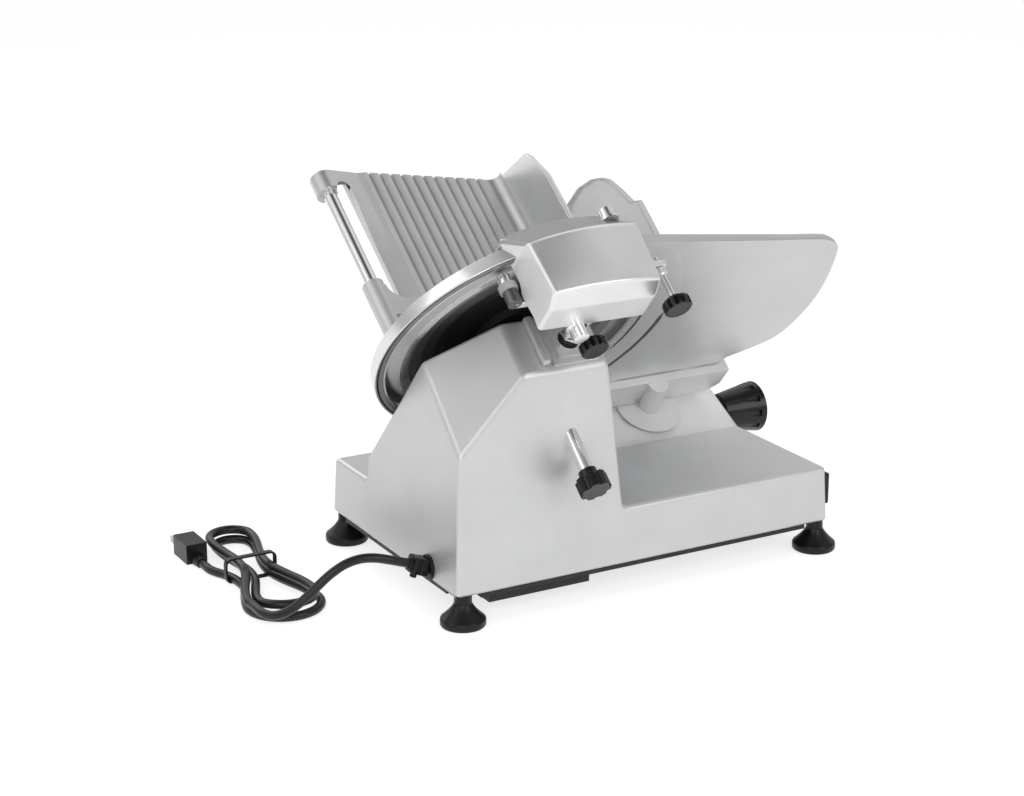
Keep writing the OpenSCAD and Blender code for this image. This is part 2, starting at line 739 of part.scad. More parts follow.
module carriage_fence() color("silver") machine() tray_frame() difference() {
    union() {
        slab_y(tray_y0, tray_y0 + fence_t)
            polygon([[tray_low + 4, tray_under], [350, tray_under], [350, tray_under - 50],
                [394, tray_under - 50], [400, tray_under], [tray_top(tray_y0), tray_under],
                [tray_top(tray_y0), tray_d + 5],
                [422, tray_d + fence_h - 17], [413, tray_d + fence_h - 11], [379, tray_d + fence_h],
                [tray_low + 4, tray_d + fence_h]]);
        for (a = [285, 345]) translate([a, tray_y0 + 1, tray_d + 25]) rotate([90, 0, 0])
            cylinder(h = tray_y0 + 1 - guard_y - guard_t / 2, r = 6);
    }
}

module pusher_rod() color("silver") machine() tray_frame()
    rod_x([boss_low + 5, rod_y, rod_d], tray_high - boss_low - 11, rod_r);

function tray_under_z(x) = (tray_under + x * sin(tray_slope)) / cos(tray_slope);

module carriage_arm() color("silver") machine() slab_y(arm_y0, arm_y1)
    polygon([[rail_x + 14, arm_z0], [arm_x1, arm_z0], [arm_x1, tray_under_z(arm_x1)],
        [arm_x0, tray_under_z(arm_x0)], [arm_x0, arm_z1], [rail_x + 14, arm_z1]]);

module carriage_slide() color("gray") machine() difference() {
    union() {
        box(rail_x - 14, rail_x + 14, block_y0, block_y1, 14, 46);
        for (x = [rail_x - 10, rail_x + 5 + gap]) box(x, x + 5 - gap, block_y0, block_y1, 4, 15);
    }
    along_y(rail_x, rail_z, block_y0 - 1, block_y1 + 1, $r = rail_r + run);
}

module carriage_rail() color("silver") machine()
    along_y(rail_x, rail_z, wall + 3, base_len - wall - 3, $r = rail_r);

module guide_bar() color("gray") machine() box(rail_x - 5, rail_x + 5, 30, base_len - 30, 0, 8);

module carriage_handle() color("black") machine() tray_frame() translate([372, tray_y0, tray_under - 30])
    rotate([90, 0, 0]) rotate_extrude()
        polygon([[0, 0], [13, 0], [13, 8], [11, 14], [14, 34], [15, 60], [14, 84], [9, 94], [0, 96]]);

module hand_guard() color([0.85, 0.88, 0.9, 0.5]) machine() tray_frame()
    slab_y(guard_y - guard_t / 2, guard_y + guard_t / 2)
        polygon([[240, tray_d + 2], [384, tray_d + 2], [388, 75], [384, 104], [372, 131], [362, 144],
            [350, 154], [328, 163], [306, 170], [298, 181], [251, 179], [240, 178]]);

// Pusher: sleeve on the rod, swinging arm and toothed plate
module pusher_sleeve() color("silver") machine() tray_frame() difference() {
    rod_x([sleeve_a0, rod_y, rod_d], sleeve_a1 - sleeve_a0, rod_r + sleeve_t);
    rod_x([sleeve_a0 - 1, rod_y, rod_d], far, rod_r + run);
}

press_r = rod_r + sleeve_t + run;
beam_d = [tray_d - 1 + 5, tray_d + 9];

module pusher_arm() color("gray") machine() tray_frame() difference() {
    union() {
        rod_x([press_a0, rod_y, rod_d], press_a1 - press_a0, press_r + press_t);
        box(beam_a0, beam_a0 + beam_w, 240, rod_y - 4, beam_d[0], beam_d[1]);
        box(252, beam_a0 + 1, 275, 305, beam_d[0], beam_d[1]);
        difference() {
            box(beam_a0 + 1, beam_a0 + beam_w + web_r, rod_y - 8 - web_r, rod_y - 4, beam_d[0], beam_d[1]);
            post_z([beam_a0 + beam_w + web_r, rod_y - 8 - web_r], beam_d[0] - 1, 20, web_r);
        }
    }
    rod_x([press_a0 - 1, rod_y, rod_d], press_a1 - press_a0 + 2, press_r);
}

module pusher_plate() color("silver") machine() tray_frame() {
    box(248, 252, 232, 345, tray_d + 4, tray_d + 70);
    for (y = [245 : 16 : 335], d = [tray_d + 14 : 14 : tray_d + 62])
        translate([249, y, d]) rotate([0, -90, 0]) cylinder(h = 7, r1 = 3, r2 = 0.6, $fn = 16);
}

// Sharpener: bracket, post, housing, knobs, pins and stones
module sharpener_bracket() color("silver") machine() difference() {
    union() {
        tilted() box(151, 198, 268, 309, tower_top, tower_top + bracket_t);
        tilted() box(146, 199, 317, 326, tower_top, tower_top + bracket_t + 4);
        tilted() box(144, 152, 268, 326, tower_top, tower_top + bracket_t + 1);
        tilted() box(151, 198, 308, 318, tower_top, tower_top + 2);
    }
    tilted() translate([post_n, post_yy, tower_top + 1]) cylinder(h = 20, r = sharp_post_r + fit);
}

module sharpener_post() color("silver") machine() tilted() translate([post_n, post_yy, tower_top + 1])
    cylinder(h = sharp_u + 22 - tower_top, r = sharp_post_r);

module sharp_section(y, nose, crest, near, o) tilted() slab_y(y - 1, y + 1)
    polygon([[nose - 1.2 * o, sharp_u - o / 4], [208.5, sharp_u + crest - 1.1 * o],
        [148 + o, sharp_u + near - o], [142.5 + o, sharp_u + sharp_belt], [141 + o, sharp_u - o / 4]]);

module sharp_form(o) hull() {
    sharp_section(sharp_y1 - 1 - o, 245, 41.5, 47, o);
    sharp_section(sharp_mid_y, 256, 53.5, 51.5, o);
    sharp_section(sharp_y0 + 1 + o, 256, 49.5, 46.5, o);
}

module sharpener_housing() color("silver") machine() difference() {
    union() {
        difference() {
            sharp_form(0);
            sharp_form(sharp_wall);
        }
        tilted() box(143, 190, sharp_y0 + 2, sharp_y1 - 2, sharp_u + gap, sharp_u + 4);
        rod_u(post_n, post_yy, lug_low, sharp_u + 26, 12);
        rod_n(grind_y, grind_u, 146, 176, 11);
        tilted() box(168, 174, stop_y - 7, sharp_y0 + 3, stop_u - 7, stop_u + 7);
        tilted() box(158, post_n, post_yy - 2, clamp_y + 8, lug_low, clamp_u + 9);
    }
    rod_u(post_n, post_yy, lug_low - 8, sharp_u + 24, sharp_post_r + run);
    rod_n(grind_y, grind_u, 140, 190, grind_r + run);
    rod_n(clamp_y, clamp_u, 150, post_n - 8, stud_r + run);
    rod_n(stop_y, stop_u, 150, 180, stud_r + run);
    rod_n(hone_y, hone_u, 225, 280, hone_r + run);
    tilted() box(207, 233, sharp_y1 - 8, sharp_y1 + 5, sharp_u - 22, sharp_u + sharp_slot_h);
    tilted() box(207, 233, sharp_y0 - 5, sharp_y0 + 8, sharp_u - 22, sharp_u + sharp_slot_h);
}

module clamp_knob() color("black") machine() {
    along_n(clamp_y, clamp_u, clamp_n) fluted(knob_len, clamp_r, 12, 2.2);
    rod_n(clamp_y, clamp_u, clamp_n + knob_len - 1, post_n - 9, stud_r);
}

module stop_knob() color("black") machine() {
    along_n(stop_y, stop_u, stop_n) fluted(knob_len, clamp_r, 12, 2.2);
    rod_n(stop_y, stop_u, stop_n + knob_len - 1, 180, stud_r);
    along_n(stop_y, stop_u, 161) cylinder(h = 6, r = 6, $fn = 6);
}

module grind_pin() color("silver") machine() {
    rod_n(grind_y, grind_u, 132, grind_arm_n + 2, grind_r);
    along_n(0, 0, grind_arm_n) hull() for (p = [[grind_y, grind_u - 1], [stone_y, stone_u - 3]])
        translate([-p[1], p[0], 0]) cylinder(h = grind_arm_t, r = 6.5, $fn = 32);
    rod_n(stone_y, stone_u, grind_arm_n + 2, stone_n + stone_h, stone_spindle_r);
}

module stone(y, u, n, r, h) along_n(y, u, n) difference() {
    cylinder(h = h, r = r);
    translate([0, 0, -1]) cylinder(h = h + 2, r = stone_spindle_r + run);
}

module grind_stone() color("gray") machine() stone(stone_y, stone_u, stone_n, stone_r, stone_h);
module hone_stone() color("gray") machine() stone(hone_y, hone_u, hone_in - 3.5, hone_stone_r, 3);

module hone_pin() color("silver") machine() {
    rod_n(hone_y, hone_u, hone_in, hone_tip, hone_r);
    rod_n(hone_y, hone_u, hone_in - 3.5, hone_in + 1, stone_spindle_r);
}

// Cord: gland, free stretch, hank, tie and plug
gland_neck_r = 8;
gland_dir = [0, cos(gland_rise), sin(gland_rise)];

module cord_gland() color("black") machine() {
    translate([gland_x, rear_wall(gland_z), gland_z]) rotate([-90 + draft, 0, 0]) {
        cylinder(h = 4, r = gland_r);
        translate([0, 0, -wall - 2]) cylinder(h = wall + 4, r = gland_neck_r);
    }
    translate(lead_points[0]) rotate([-90 + gland_rise, 0, 0]) translate([0, 0, -gland_len])
        cylinder(h = gland_len, r = gland_r - 2);
}

// Sweep of a closed tube along points: rings of equal sides, carried along the path
function unit(v) = v / norm(v);
function tangent(p, i) = unit(p[min(i + 1, len(p) - 1)] - p[max(i - 1, 0)]);
function side_of(t) = let (s = cross(t, [0, 0, 1])) norm(s) > 0.05 ? unit(s) : [1, 0, 0];
function ring(p, i, r, sides) = let (t = tangent(p, i), s = side_of(t), b = cross(s, t))
    [for (k = [0 : sides - 1]) p[i] + r * (cos(360 * k / sides) * s + sin(360 * k / sides) * b)];

module tube(p, r, sides) {
    n = len(p);
    points = [for (i = [0 : n - 1]) each ring(p, i, r, sides)];
    walls = [for (i = [0 : n - 2], k = [0 : sides - 1])
        let (a = i * sides + k, b = i * sides + (k + 1) % sides)
            each [[a, b, b + sides], [a, b + sides, a + sides]]];
    first = [for (k = [1 : sides - 2]) [0, k + 1, k]];
    last = [for (k = [1 : sides - 2]) [(n - 1) * sides, (n - 1) * sides + k, (n - 1) * sides + k + 1]];
    polyhedron(points, concat(walls, first, last));
}

module cord_lead() color("black") machine() tube(lead_points, cord_r, 10);

// Hank: a run, a bend, a run and a bend for each turn, drawn in at the waist
function hank_inset(s) = hank_step * min(s, hank_turns - s);
function hank_level(s) = let (c = (s - hank_turns / 2) / (hank_run_share / 2))
    c < -1 ? 1 : c > 1 ? 0 : (1 - sin(90 * c)) / 2;
function waist(x) = let (h = hank_half - hank_bend) abs(x) > h ? 0 : pow(cos(90 * x / h), 2);
function along(x) = let (h = hank_half - hank_bend) min(1, max(0, (x + h) / (2 * h)));
function hank_xy(f, o) =
    let (h = hank_half - hank_bend, q = hank_run_share, r = hank_bend - o, e = r - hank_taper)
    f < q ? let (x = -h + 2 * h * f / q) [x, r - hank_taper * along(x)] :
    f < 0.5 ? let (a = 180 * (f - q) / (0.5 - q)) [h + e * sin(a), e * cos(a)] :
    f < 0.5 + q ? let (x = h - 2 * h * (f - 0.5) / q) [x, hank_taper * along(x) - r] :
    let (a = 180 * (f - 0.5 - q) / (0.5 - q)) [-h - r * sin(a), -r * cos(a)];
function hank_point(s) = let (p = hank_xy(s - floor(s), hank_inset(s)), w = hank_draw * waist(p[0]))
    [hank_x + p[0], hank_y + p[1] - sign(p[1]) * w - hank_lean * along(p[0]),
        hank_low + hank_layer * hank_level(s)];
hank_count = ceil(hank_turns * loop_rings);
hank_line = [for (i = [0 : hank_count]) hank_point(hank_turns * i / hank_count)];
hank_path = concat([hank_line[0] - [hank_lead_in, 0, 0]], hank_line,
    [for (p = tail_route) [p[0], base_len + p[1], hank_low]]);
plug_face = hank_path[len(hank_path) - 1];

// Least gap of the hank to itself, from points that lie well apart along it
fine = [for (i = [0 : 4 * hank_count]) hank_point(hank_turns * i / (4 * hank_count))];
apart = 2 * loop_rings;
least = min([for (i = [0 : len(fine) - 1 - apart], j = [i + apart : len(fine) - 1]) norm(fine[i] - fine[j])]);
echo(hank_least_gap = least - 2 * cord_r);
hank_steps = [for (i = [1 : len(hank_path) - 1]) norm(hank_path[i] - hank_path[i - 1])];
lead_steps = [for (i = [1 : len(lead_points) - 1]) norm(lead_points[i] - lead_points[i - 1])];
function total(v, i = 0) = i < len(v) ? v[i] + total(v, i + 1) : 0;
echo(cord_length = total(lead_steps) + total(hank_steps));

module cord_hank() color("black") machine() tube(hank_path, cord_r, 6);

module hank_tie() color("black") machine() {
    in_y = [-17.6, 32.4];
    in_z = cord_r + hank_layer + cord_r * sin(60) + gap;
    translate([hank_x - 3, hank_y - hank_lean / 2, -foot_h]) difference() {
        box(0, 6, in_y[0] - 2, in_y[1] + 2, 0, in_z + 2);
        box(-1, 7, in_y[0], in_y[1], -1, in_z);
    }
}

module plug_body() color("black") machine() translate(plug_face) difference() {
    union() {
        rotate([0, 90, 0]) cylinder(h = 16, r1 = cord_r + 1, r2 = cord_r + 3, $fn = 48);
        box(14, plug_len, -11, 11, -cord_r, 16);
    }
    for (y = [-7, 6]) box(plug_len - 9, plug_len + 1, y, y + 1.5, 2, 9);
    box(-1, plug_len, -20, 20, -20, -cord_r);
}

module plug_prongs() color("silver") machine() translate(plug_face)
    for (y = [-7, 6]) box(plug_len - 8, plug_len + 18, y, y + 1.5, 2 + fit, 9 - fit);

base_housing();
bottom_cover();
foot_front_left();
foot_front_right();
foot_rear_left();
foot_rear_right();
cover_screws();
switch_housing();
motor_stator();
motor_plate();
capacitor();
blade_axle();
ring_guard();
blade_cover();
drive_belt();
sharpener_bracket();
sharpener_post();
carriage_rail();
guide_bar();
gauge_rod();
cord_gland();
cord_lead();
cord_hank();
hank_tie();
plug_body();
plug_prongs();
blade();
blade_hub();
hub_bearings();
blade_screws();
motor_rotor();
motor_pulley();
tie_rod();
tie_knob();
gauge_plate();
gauge_bar();
gauge_post();
gauge_skirt();
gauge_slide();
index_knob();
index_shaft();
carriage_tray();
carriage_fence();
pusher_rod();
carriage_arm();
carriage_slide();
carriage_handle();
hand_guard();
pusher_sleeve();
pusher_arm();
pusher_plate();
sharpener_housing();
clamp_knob();
stop_knob();
grind_pin();
grind_stone();
hone_pin();
hone_stone();
start_button();
stop_button();
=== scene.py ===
import json
from math import asin, cos, pi, radians, sin, sqrt, tan

import bmesh
import bpy
from mathutils import Matrix, Vector


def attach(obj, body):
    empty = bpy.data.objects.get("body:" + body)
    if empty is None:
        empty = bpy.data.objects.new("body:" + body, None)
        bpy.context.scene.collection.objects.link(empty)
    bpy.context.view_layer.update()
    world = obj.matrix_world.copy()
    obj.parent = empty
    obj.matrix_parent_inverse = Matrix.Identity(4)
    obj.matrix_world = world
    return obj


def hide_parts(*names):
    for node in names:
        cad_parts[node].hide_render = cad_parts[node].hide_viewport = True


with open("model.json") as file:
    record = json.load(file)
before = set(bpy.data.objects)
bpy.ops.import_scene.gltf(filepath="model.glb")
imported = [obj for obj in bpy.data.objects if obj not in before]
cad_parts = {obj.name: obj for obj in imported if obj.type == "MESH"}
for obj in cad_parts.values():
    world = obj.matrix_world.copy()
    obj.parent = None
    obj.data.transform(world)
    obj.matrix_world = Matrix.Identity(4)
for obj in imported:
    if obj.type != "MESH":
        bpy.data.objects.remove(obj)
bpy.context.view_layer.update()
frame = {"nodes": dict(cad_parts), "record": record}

MM = 0.001
NODES = frame["nodes"]
BODY_OF = {n: b for b, ns in frame["record"]["behaviour"]["bodies"].items() for n in ns}

# Machine frame of the part's source, in millimetres, and its leaning frames
ORIGIN_X, ORIGIN_Y, FOOT_H = 134.35319664, 198.25, 32.0
TILT, TRAY_SLOPE, FACE_SLOPE = radians(41), radians(37), radians(29)
BLADE_Y, BLADE_U = 299.5, 99.0


def row(x, y, z):
    """Point of the machine frame in the row frame."""
    return Vector(((x - ORIGIN_X) * MM, (y - ORIGIN_Y) * MM, (z + FOOT_H) * MM))


def smooth_step(x, low, high):
    s = min(1, max(0, (x - low) / (high - low)))
    return s * s * (3 - 2 * s)


def tn(n, y, u):
    """Point of the blade's frame in the row frame: n along the axle, u up the blade."""
    return row(n * cos(TILT) - u * sin(TILT), y, n * sin(TILT) + u * cos(TILT))


def un(p):
    """The blade frame's (n, y, u) of a point in the row frame, and its distance from the axle."""
    x, y, z = p[0] / MM + ORIGIN_X, p[1] / MM + ORIGIN_Y, p[2] / MM - FOOT_H
    n, u = x * cos(TILT) + z * sin(TILT), z * cos(TILT) - x * sin(TILT)
    return n, y, u, sqrt((y - BLADE_Y) ** 2 + (u - BLADE_U) ** 2)


def along_n(y0, u0):
    """Place for a turned form whose axis runs along n through (y0, u0)."""
    return lambda x, y, h: tn(h, y0 + x, u0 + y)


def tr(a, y, d):
    """Point of the tray's frame in the row frame: a up the tray, d off its face."""
    return row(a * cos(TRAY_SLOPE) - d * sin(TRAY_SLOPE), y, a * sin(TRAY_SLOPE) + d * cos(TRAY_SLOPE))


# Camera at the photograph's angle
CAM_AZIMUTH, CAM_PITCH = radians(240.69), radians(17.494)
CAM_LENS, CAM_SENSOR, CAM_SPOT = 79.10, 36, Vector((-1.845210, 1.129335, 0.837985))
cam_data = bpy.data.cameras.new("camera")
cam_data.lens = CAM_LENS
cam_data.sensor_width = CAM_SENSOR
camera = bpy.data.objects.new("camera", cam_data)
bpy.context.scene.collection.objects.link(camera)
bpy.context.scene.camera = camera
back = Vector((sin(CAM_AZIMUTH) * cos(CAM_PITCH), -cos(CAM_AZIMUTH) * cos(CAM_PITCH), sin(CAM_PITCH)))
right = Vector((0, 0, 1)).cross(back).normalized()
up = back.cross(right)
camera.matrix_world = Matrix([[right[i], up[i], back[i], CAM_SPOT[i]] for i in range(3)] + [[0, 0, 0, 1]])

# Materials; a noise keeps mostly between these two values
NOISE_LOW, NOISE_HIGH = 0.3, 0.7


def new_material(name):
    m = bpy.data.materials.new(name)
    m.use_nodes = True
    return m, m.node_tree.nodes, m.node_tree.links, m.node_tree.nodes["Principled BSDF"]


def coords(nodes, links, scale, turn=(0, 0, 0)):
    where = nodes.new("ShaderNodeTexCoord")
    mapping = nodes.new("ShaderNodeMapping")
    mapping.inputs["Rotation"].default_value = turn
    mapping.inputs["Scale"].default_value = scale
    links.new(where.outputs["Object"], mapping.inputs["Vector"])
    return mapping.outputs["Vector"]


def noise(nodes, links, vector, scale, detail=3, rough=0.5):
    n = nodes.new("ShaderNodeTexNoise")
    n.inputs["Scale"].default_value = scale
    n.inputs["Detail"].default_value = detail
    n.inputs["Roughness"].default_value = rough
    links.new(vector, n.inputs["Vector"])
    return n.outputs["Fac"]


def ranged(nodes, links, value, low, high):
    r = nodes.new("ShaderNodeMapRange")
    r.inputs["From Min"].default_value = NOISE_LOW
    r.inputs["From Max"].default_value = NOISE_HIGH
    r.inputs["To Min"].default_value = low
    r.inputs["To Max"].default_value = high
    links.new(value, r.inputs["Value"])
    return r.outputs["Result"]


def toned(nodes, links, value, dark, light):
    r = nodes.new("ShaderNodeValToRGB")
    r.color_ramp.elements[0].position = NOISE_LOW
    r.color_ramp.elements[1].position = NOISE_HIGH
    r.color_ramp.elements[0].color = (*dark, 1)
    r.color_ramp.elements[1].color = (*light, 1)
    links.new(value, r.inputs["Fac"])
    return r.outputs["Color"]


def bumped(nodes, links, value, strength, distance, shader):
    b = nodes.new("ShaderNodeBump")
    b.inputs["Strength"].default_value = strength
    b.inputs["Distance"].default_value = distance
    links.new(value, b.inputs["Height"])
    links.new(b.outputs["Normal"], shader.inputs["Normal"])


def shades(tone, spread):
    """Darker and lighter shade of a tone."""
    return [c * (1 - spread) for c in tone], [min(1, c * (1 + spread)) for c in tone]


def metal(name, tone, rough, metallic=1.0, grain=2600, grain_depth=0.00003, streak=None, spread=0.05):
    """Metal with cloudy tone and roughness, and a fine grain or, with streak=(scale, turn), brush lines."""
    m, nodes, links, shader = new_material(name)
    shader.inputs["Metallic"].default_value = metallic
    plain = coords(nodes, links, (1, 1, 1))
    cloud = noise(nodes, links, plain, 14, 4, 0.6)
    links.new(toned(nodes, links, cloud, *shades(tone, spread)), shader.inputs["Base Color"])
    if streak:
        lines = noise(nodes, links, coords(nodes, links, streak[0], streak[1]), 1, 4, 0.6)
    else:
        lines = noise(nodes, links, plain, grain, 2)
    mixed = nodes.new("ShaderNodeMath")
    mixed.operation = "MULTIPLY_ADD"
    mixed.inputs[1].default_value = 0.5
    links.new(lines, mixed.inputs[0])
    half = nodes.new("ShaderNodeMath")
    half.operation = "MULTIPLY"
    half.inputs[1].default_value = 0.5
    links.new(cloud, half.inputs[0])
    links.new(half.outputs["Value"], mixed.inputs[2])
    links.new(ranged(nodes, links, mixed.outputs["Value"], rough - 0.06, rough + 0.08), shader.inputs["Roughness"])
    bumped(nodes, links, lines, 0.35, grain_depth, shader)
    return m


def plastic(name, tone, rough, grain=1500, depth=0.00004, spread=0.25, gloss=0.5):
    """Plastic, rubber or stone with cloudy tone and roughness and a fine grain."""
    m, nodes, links, shader = new_material(name)
    shader.inputs["Specular IOR Level"].default_value = gloss
    plain = coords(nodes, links, (1, 1, 1))
    cloud = noise(nodes, links, plain, 30, 4, 0.6)
    links.new(toned(nodes, links, cloud, *shades(tone, spread)), shader.inputs["Base Color"])
    links.new(ranged(nodes, links, cloud, rough - 0.07, rough + 0.09), shader.inputs["Roughness"])
    bumped(nodes, links, noise(nodes, links, plain, grain, 2), 0.4, depth, shader)
    return m


TRAY_BRUSH = ((6, 900, 6), (0, TRAY_SLOPE, 0))
FENCE_BRUSH = ((500, 5, 5), (0, TRAY_SLOPE, 0))
PLATE_BRUSH, BLADE_BRUSH = ((700, 12, 12), (0, 0, 0)), ((900, 60, 900), (0, 0, 0))
M = {
    "cast": metal("cast_aluminium", (0.67, 0.675, 0.68), 0.4, 0.6),
    # Lighter copy of the cast aluminium: painted light on the slope under the gauge plate
    "cast_painted_light": metal("cast_aluminium_painted_light", (0.88, 0.882, 0.885), 0.42, 0.45),
    "sharp": metal("polished_casting", (0.84, 0.845, 0.85), 0.34, 0.75),
    # Darker copy of the polished casting: painted shade on the sharpener's far slope
    "sharp_painted_shade": metal("polished_casting_painted_shade", (0.36, 0.362, 0.365), 0.3, 0.85),
    # Lighter, less metallic copy of the polished casting: painted light on the sharpener's end plates
    "sharp_painted_light": metal("polished_casting_painted_light", (0.93, 0.932, 0.935), 0.4, 0.25),
    "ring": metal("turned_aluminium", (0.74, 0.745, 0.75), 0.2, 0.92, grain=1500, grain_depth=0.00001),
    # Darker copy of the turned aluminium: painted shade on the ring guard's back face
    "ring_painted_shade": metal("turned_aluminium_painted_shade", (0.27, 0.27, 0.275), 0.3, 0.9, grain=1500, grain_depth=0.00001),
    "tray": metal("brushed_aluminium_tray", (0.62, 0.625, 0.63), 0.36, 0.85, streak=TRAY_BRUSH),
    "fence": metal("brushed_aluminium_fence", (0.78, 0.785, 0.79), 0.32, 0.85, streak=FENCE_BRUSH),
    "plate": metal("satin_aluminium_plate", (0.64, 0.645, 0.65), 0.38, 0.75, streak=PLATE_BRUSH,
                   grain_depth=0.00001),
    "bright": metal("satin_bright_aluminium", (0.8, 0.805, 0.81), 0.38, 0.6),
    "chrome": metal("polished_steel", (0.82, 0.82, 0.83), 0.14, grain=900, grain_depth=0.000004, spread=0.02),
    "machined": metal("machined_steel", (0.55, 0.55, 0.56), 0.34),
    # Painted shade in steps for the blade's hollow and a darker copy for its back slope; the darkest also stands
    # for shade on the grind pin's spindle
    "painted_shade_steel": metal("painted_shade_steel", (0.16, 0.16, 0.165), 0.36),
    "blade_painted_shade_grey": metal("painted_shade_grey_steel", (0.26, 0.26, 0.263), 0.4),
    "blade_painted_shade_mid": metal("painted_shade_mid_steel", (0.5, 0.502, 0.505), 0.36),
    "blade_painted_slope_shade": metal("painted_slope_shade_steel", (0.36, 0.362, 0.365), 0.3, grain=900, grain_depth=0.00001),
    "blade": metal("ground_steel", (0.6, 0.605, 0.61), 0.34, 0.75, streak=BLADE_BRUSH, grain_depth=0.00001),
    # Painted highlight on the blade's flat rim
    "blade_painted_rim_highlight": metal("painted_rim_highlight_steel", (0.64, 0.64, 0.65), 0.26, grain=900, grain_depth=0.00001),
    # Black painted shade: the hollow at the blade's hub, the hub, the ring guard's groove and the recess round the
    # sharpener post's nut
    "painted_shade_black": plastic("black_painted_shade", (0.014, 0.014, 0.014), 0.5, gloss=0.25),
    "black": plastic("black_plastic", (0.008, 0.008, 0.0085), 0.24, 1500, 0.000015, gloss=0.35),
    "rubber": plastic("black_rubber", (0.007, 0.007, 0.007), 0.34, 2200, 0.00002, gloss=0.3),
    "cord": plastic("cord_jacket", (0.009, 0.009, 0.009), 0.32, 900, 0.00002, gloss=0.4),
    "cover": plastic("cover_paint", (0.03, 0.03, 0.031), 0.45, 1200, gloss=0.3),
    "stone": plastic("bonded_stone", (0.5, 0.5, 0.49), 0.85, 1800, 0.0002, 0.12),
    "skirt": plastic("pale_skirt", (0.74, 0.74, 0.73), 0.5, 1600, 0.00002, 0.04),
    "green": plastic("green_button", (0.03, 0.25, 0.07), 0.3),
    "red": plastic("red_button", (0.45, 0.02, 0.02), 0.3),
    "prong": plastic("pale_prong", (0.75, 0.75, 0.74), 0.35, 1500, 0.00002, 0.04),
}


def clear_sheet():
    """Clear plastic with a faint haze."""
    m, nodes, links, shader = new_material("clear_guard")
    plain = coords(nodes, links, (1, 1, 1))
    cloud = noise(nodes, links, plain, 22, 4, 0.6)
    links.new(toned(nodes, links, cloud, (0.74, 0.745, 0.75), (0.8, 0.805, 0.81)), shader.inputs["Base Color"])
    links.new(ranged(nodes, links, cloud, 0.2, 0.3), shader.inputs["Roughness"])
    bumped(nodes, links, noise(nodes, links, plain, 60, 3), 0.1, 0.0001, shader)
    shader.inputs["Alpha"].default_value = 0.6
    return m


M["clear"] = clear_sheet()

# Helpers for pieces


def settle(obj, node, mat, *more):
    """Gives a piece its place in the table: it stands for node and rides on its body."""
    obj.data.materials.clear()
    obj.data.materials.append(M[mat])
    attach(obj, BODY_OF[node])
    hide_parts(node, *more)
    return obj


def tint(obj, mats, rule):
    """Other materials for some faces: rule takes (n, y, u, radius) of a face and gives a place in mats or None."""
    first = len(obj.data.materials)
    for m in mats:
        obj.data.materials.append(M[m])
    for face in obj.data.polygons:
        spots = [un(obj.data.vertices[v].co) for v in face.vertices]
        pick = rule(*[sum(s[i] for s in spots) / len(spots) for i in range(4)])
        if pick is not None:
            face.material_index = first + pick


def link(name, data):
    obj = bpy.data.objects.new(name, data)
    bpy.context.scene.collection.objects.link(obj)
    return obj


def from_bm(name, bm, sharp=32):
    """Object from a bmesh, smooth shaded with edges over the sharp angle kept."""
    bm.normal_update()
    for f in bm.faces:
        f.smooth = True
    for e in bm.edges:
        e.smooth = not (len(e.link_faces) == 2 and e.calc_face_angle(0) > radians(sharp))
    mesh = bpy.data.meshes.new(name)
    bm.to_mesh(mesh)
    bm.free()
    obj = link(name, mesh)
    weighted = obj.modifiers.new("weighted", "WEIGHTED_NORMAL")
    weighted.keep_sharp = True
    return obj


def node_bm(node):
    """A clean copy of a CAD node's mesh, flat faces joined."""
    bm = bmesh.new()
    bm.from_mesh(NODES[node].data)
    bmesh.ops.remove_doubles(bm, verts=bm.verts, dist=0.00002)
    bmesh.ops.dissolve_degenerate(bm, dist=0.00001, edges=bm.edges)
    bmesh.ops.dissolve_limit(bm, angle_limit=radians(0.4), use_dissolve_boundaries=False, verts=bm.verts,
                             edges=bm.edges)
    return bm


def dress(node, mat, width, least=0.0, angle=35, segments=3, clamp=True, pick=None):
    """The CAD node's own form with its edges eased by width (mm); least (mm) leaves shorter edges alone."""
    bm = node_bm(node)
    edges = [e for e in bm.edges if len(e.link_faces) == 2 and e.calc_face_angle(0) > radians(angle)
             and e.calc_length() > least * MM and (pick is None or pick(e))]
    if width and edges:
        bmesh.ops.bevel(bm, geom=edges, offset=width * MM, offset_type="OFFSET", segments=segments, profile=0.5,
                        affect="EDGES", clamp_overlap=clamp, miter_outer="ARC" if not clamp else "SHARP")
    return settle(from_bm("piece_" + node, bm), node, mat)


def turned(bm, profile, place, steps=96, start=0.0, turn=2 * pi):
    """Turned form: profile of (radius, height) in mm; place maps (x, y, height) to the row frame."""
    whole = abs(turn - 2 * pi) < 1e-6
    count = steps if whole else steps + 1
    rings = []
    for i in range(count):
        a = start + turn * i / steps
        rings.append([bm.verts.new(place(r * cos(a), r * sin(a), h)) for r, h in profile])
    made = []
    for i in range(steps):
        a, b = rings[i], rings[(i + 1) % count]
        for k in range(len(profile)):
            q = (k + 1) % len(profile)
            made.append(bm.faces.new([a[k], a[q], b[q], b[k]]))
    if not whole:
        made.append(bm.faces.new(list(reversed(rings[0]))))
        made.append(bm.faces.new(rings[-1]))
    bmesh.ops.remove_doubles(bm, verts=[v for r in rings for v in r], dist=0.00001)
    return made


def band(bm, outer, inner, place, h0, h1):
    """Closed band between two outlines of equal count, from h0 to h1; place maps a point and a height."""
    edges = ((outer, h0), (outer, h1), (inner, h1), (inner, h0))
    rims = [[bm.verts.new(place(p, h)) for p in line] for line, h in edges]
    for k in range(4):
        for i in range(len(outer)):
            q = (i + 1) % len(outer)
            bm.faces.new([rims[k][i], rims[k][q], rims[(k + 1) % 4][q], rims[(k + 1) % 4][i]])


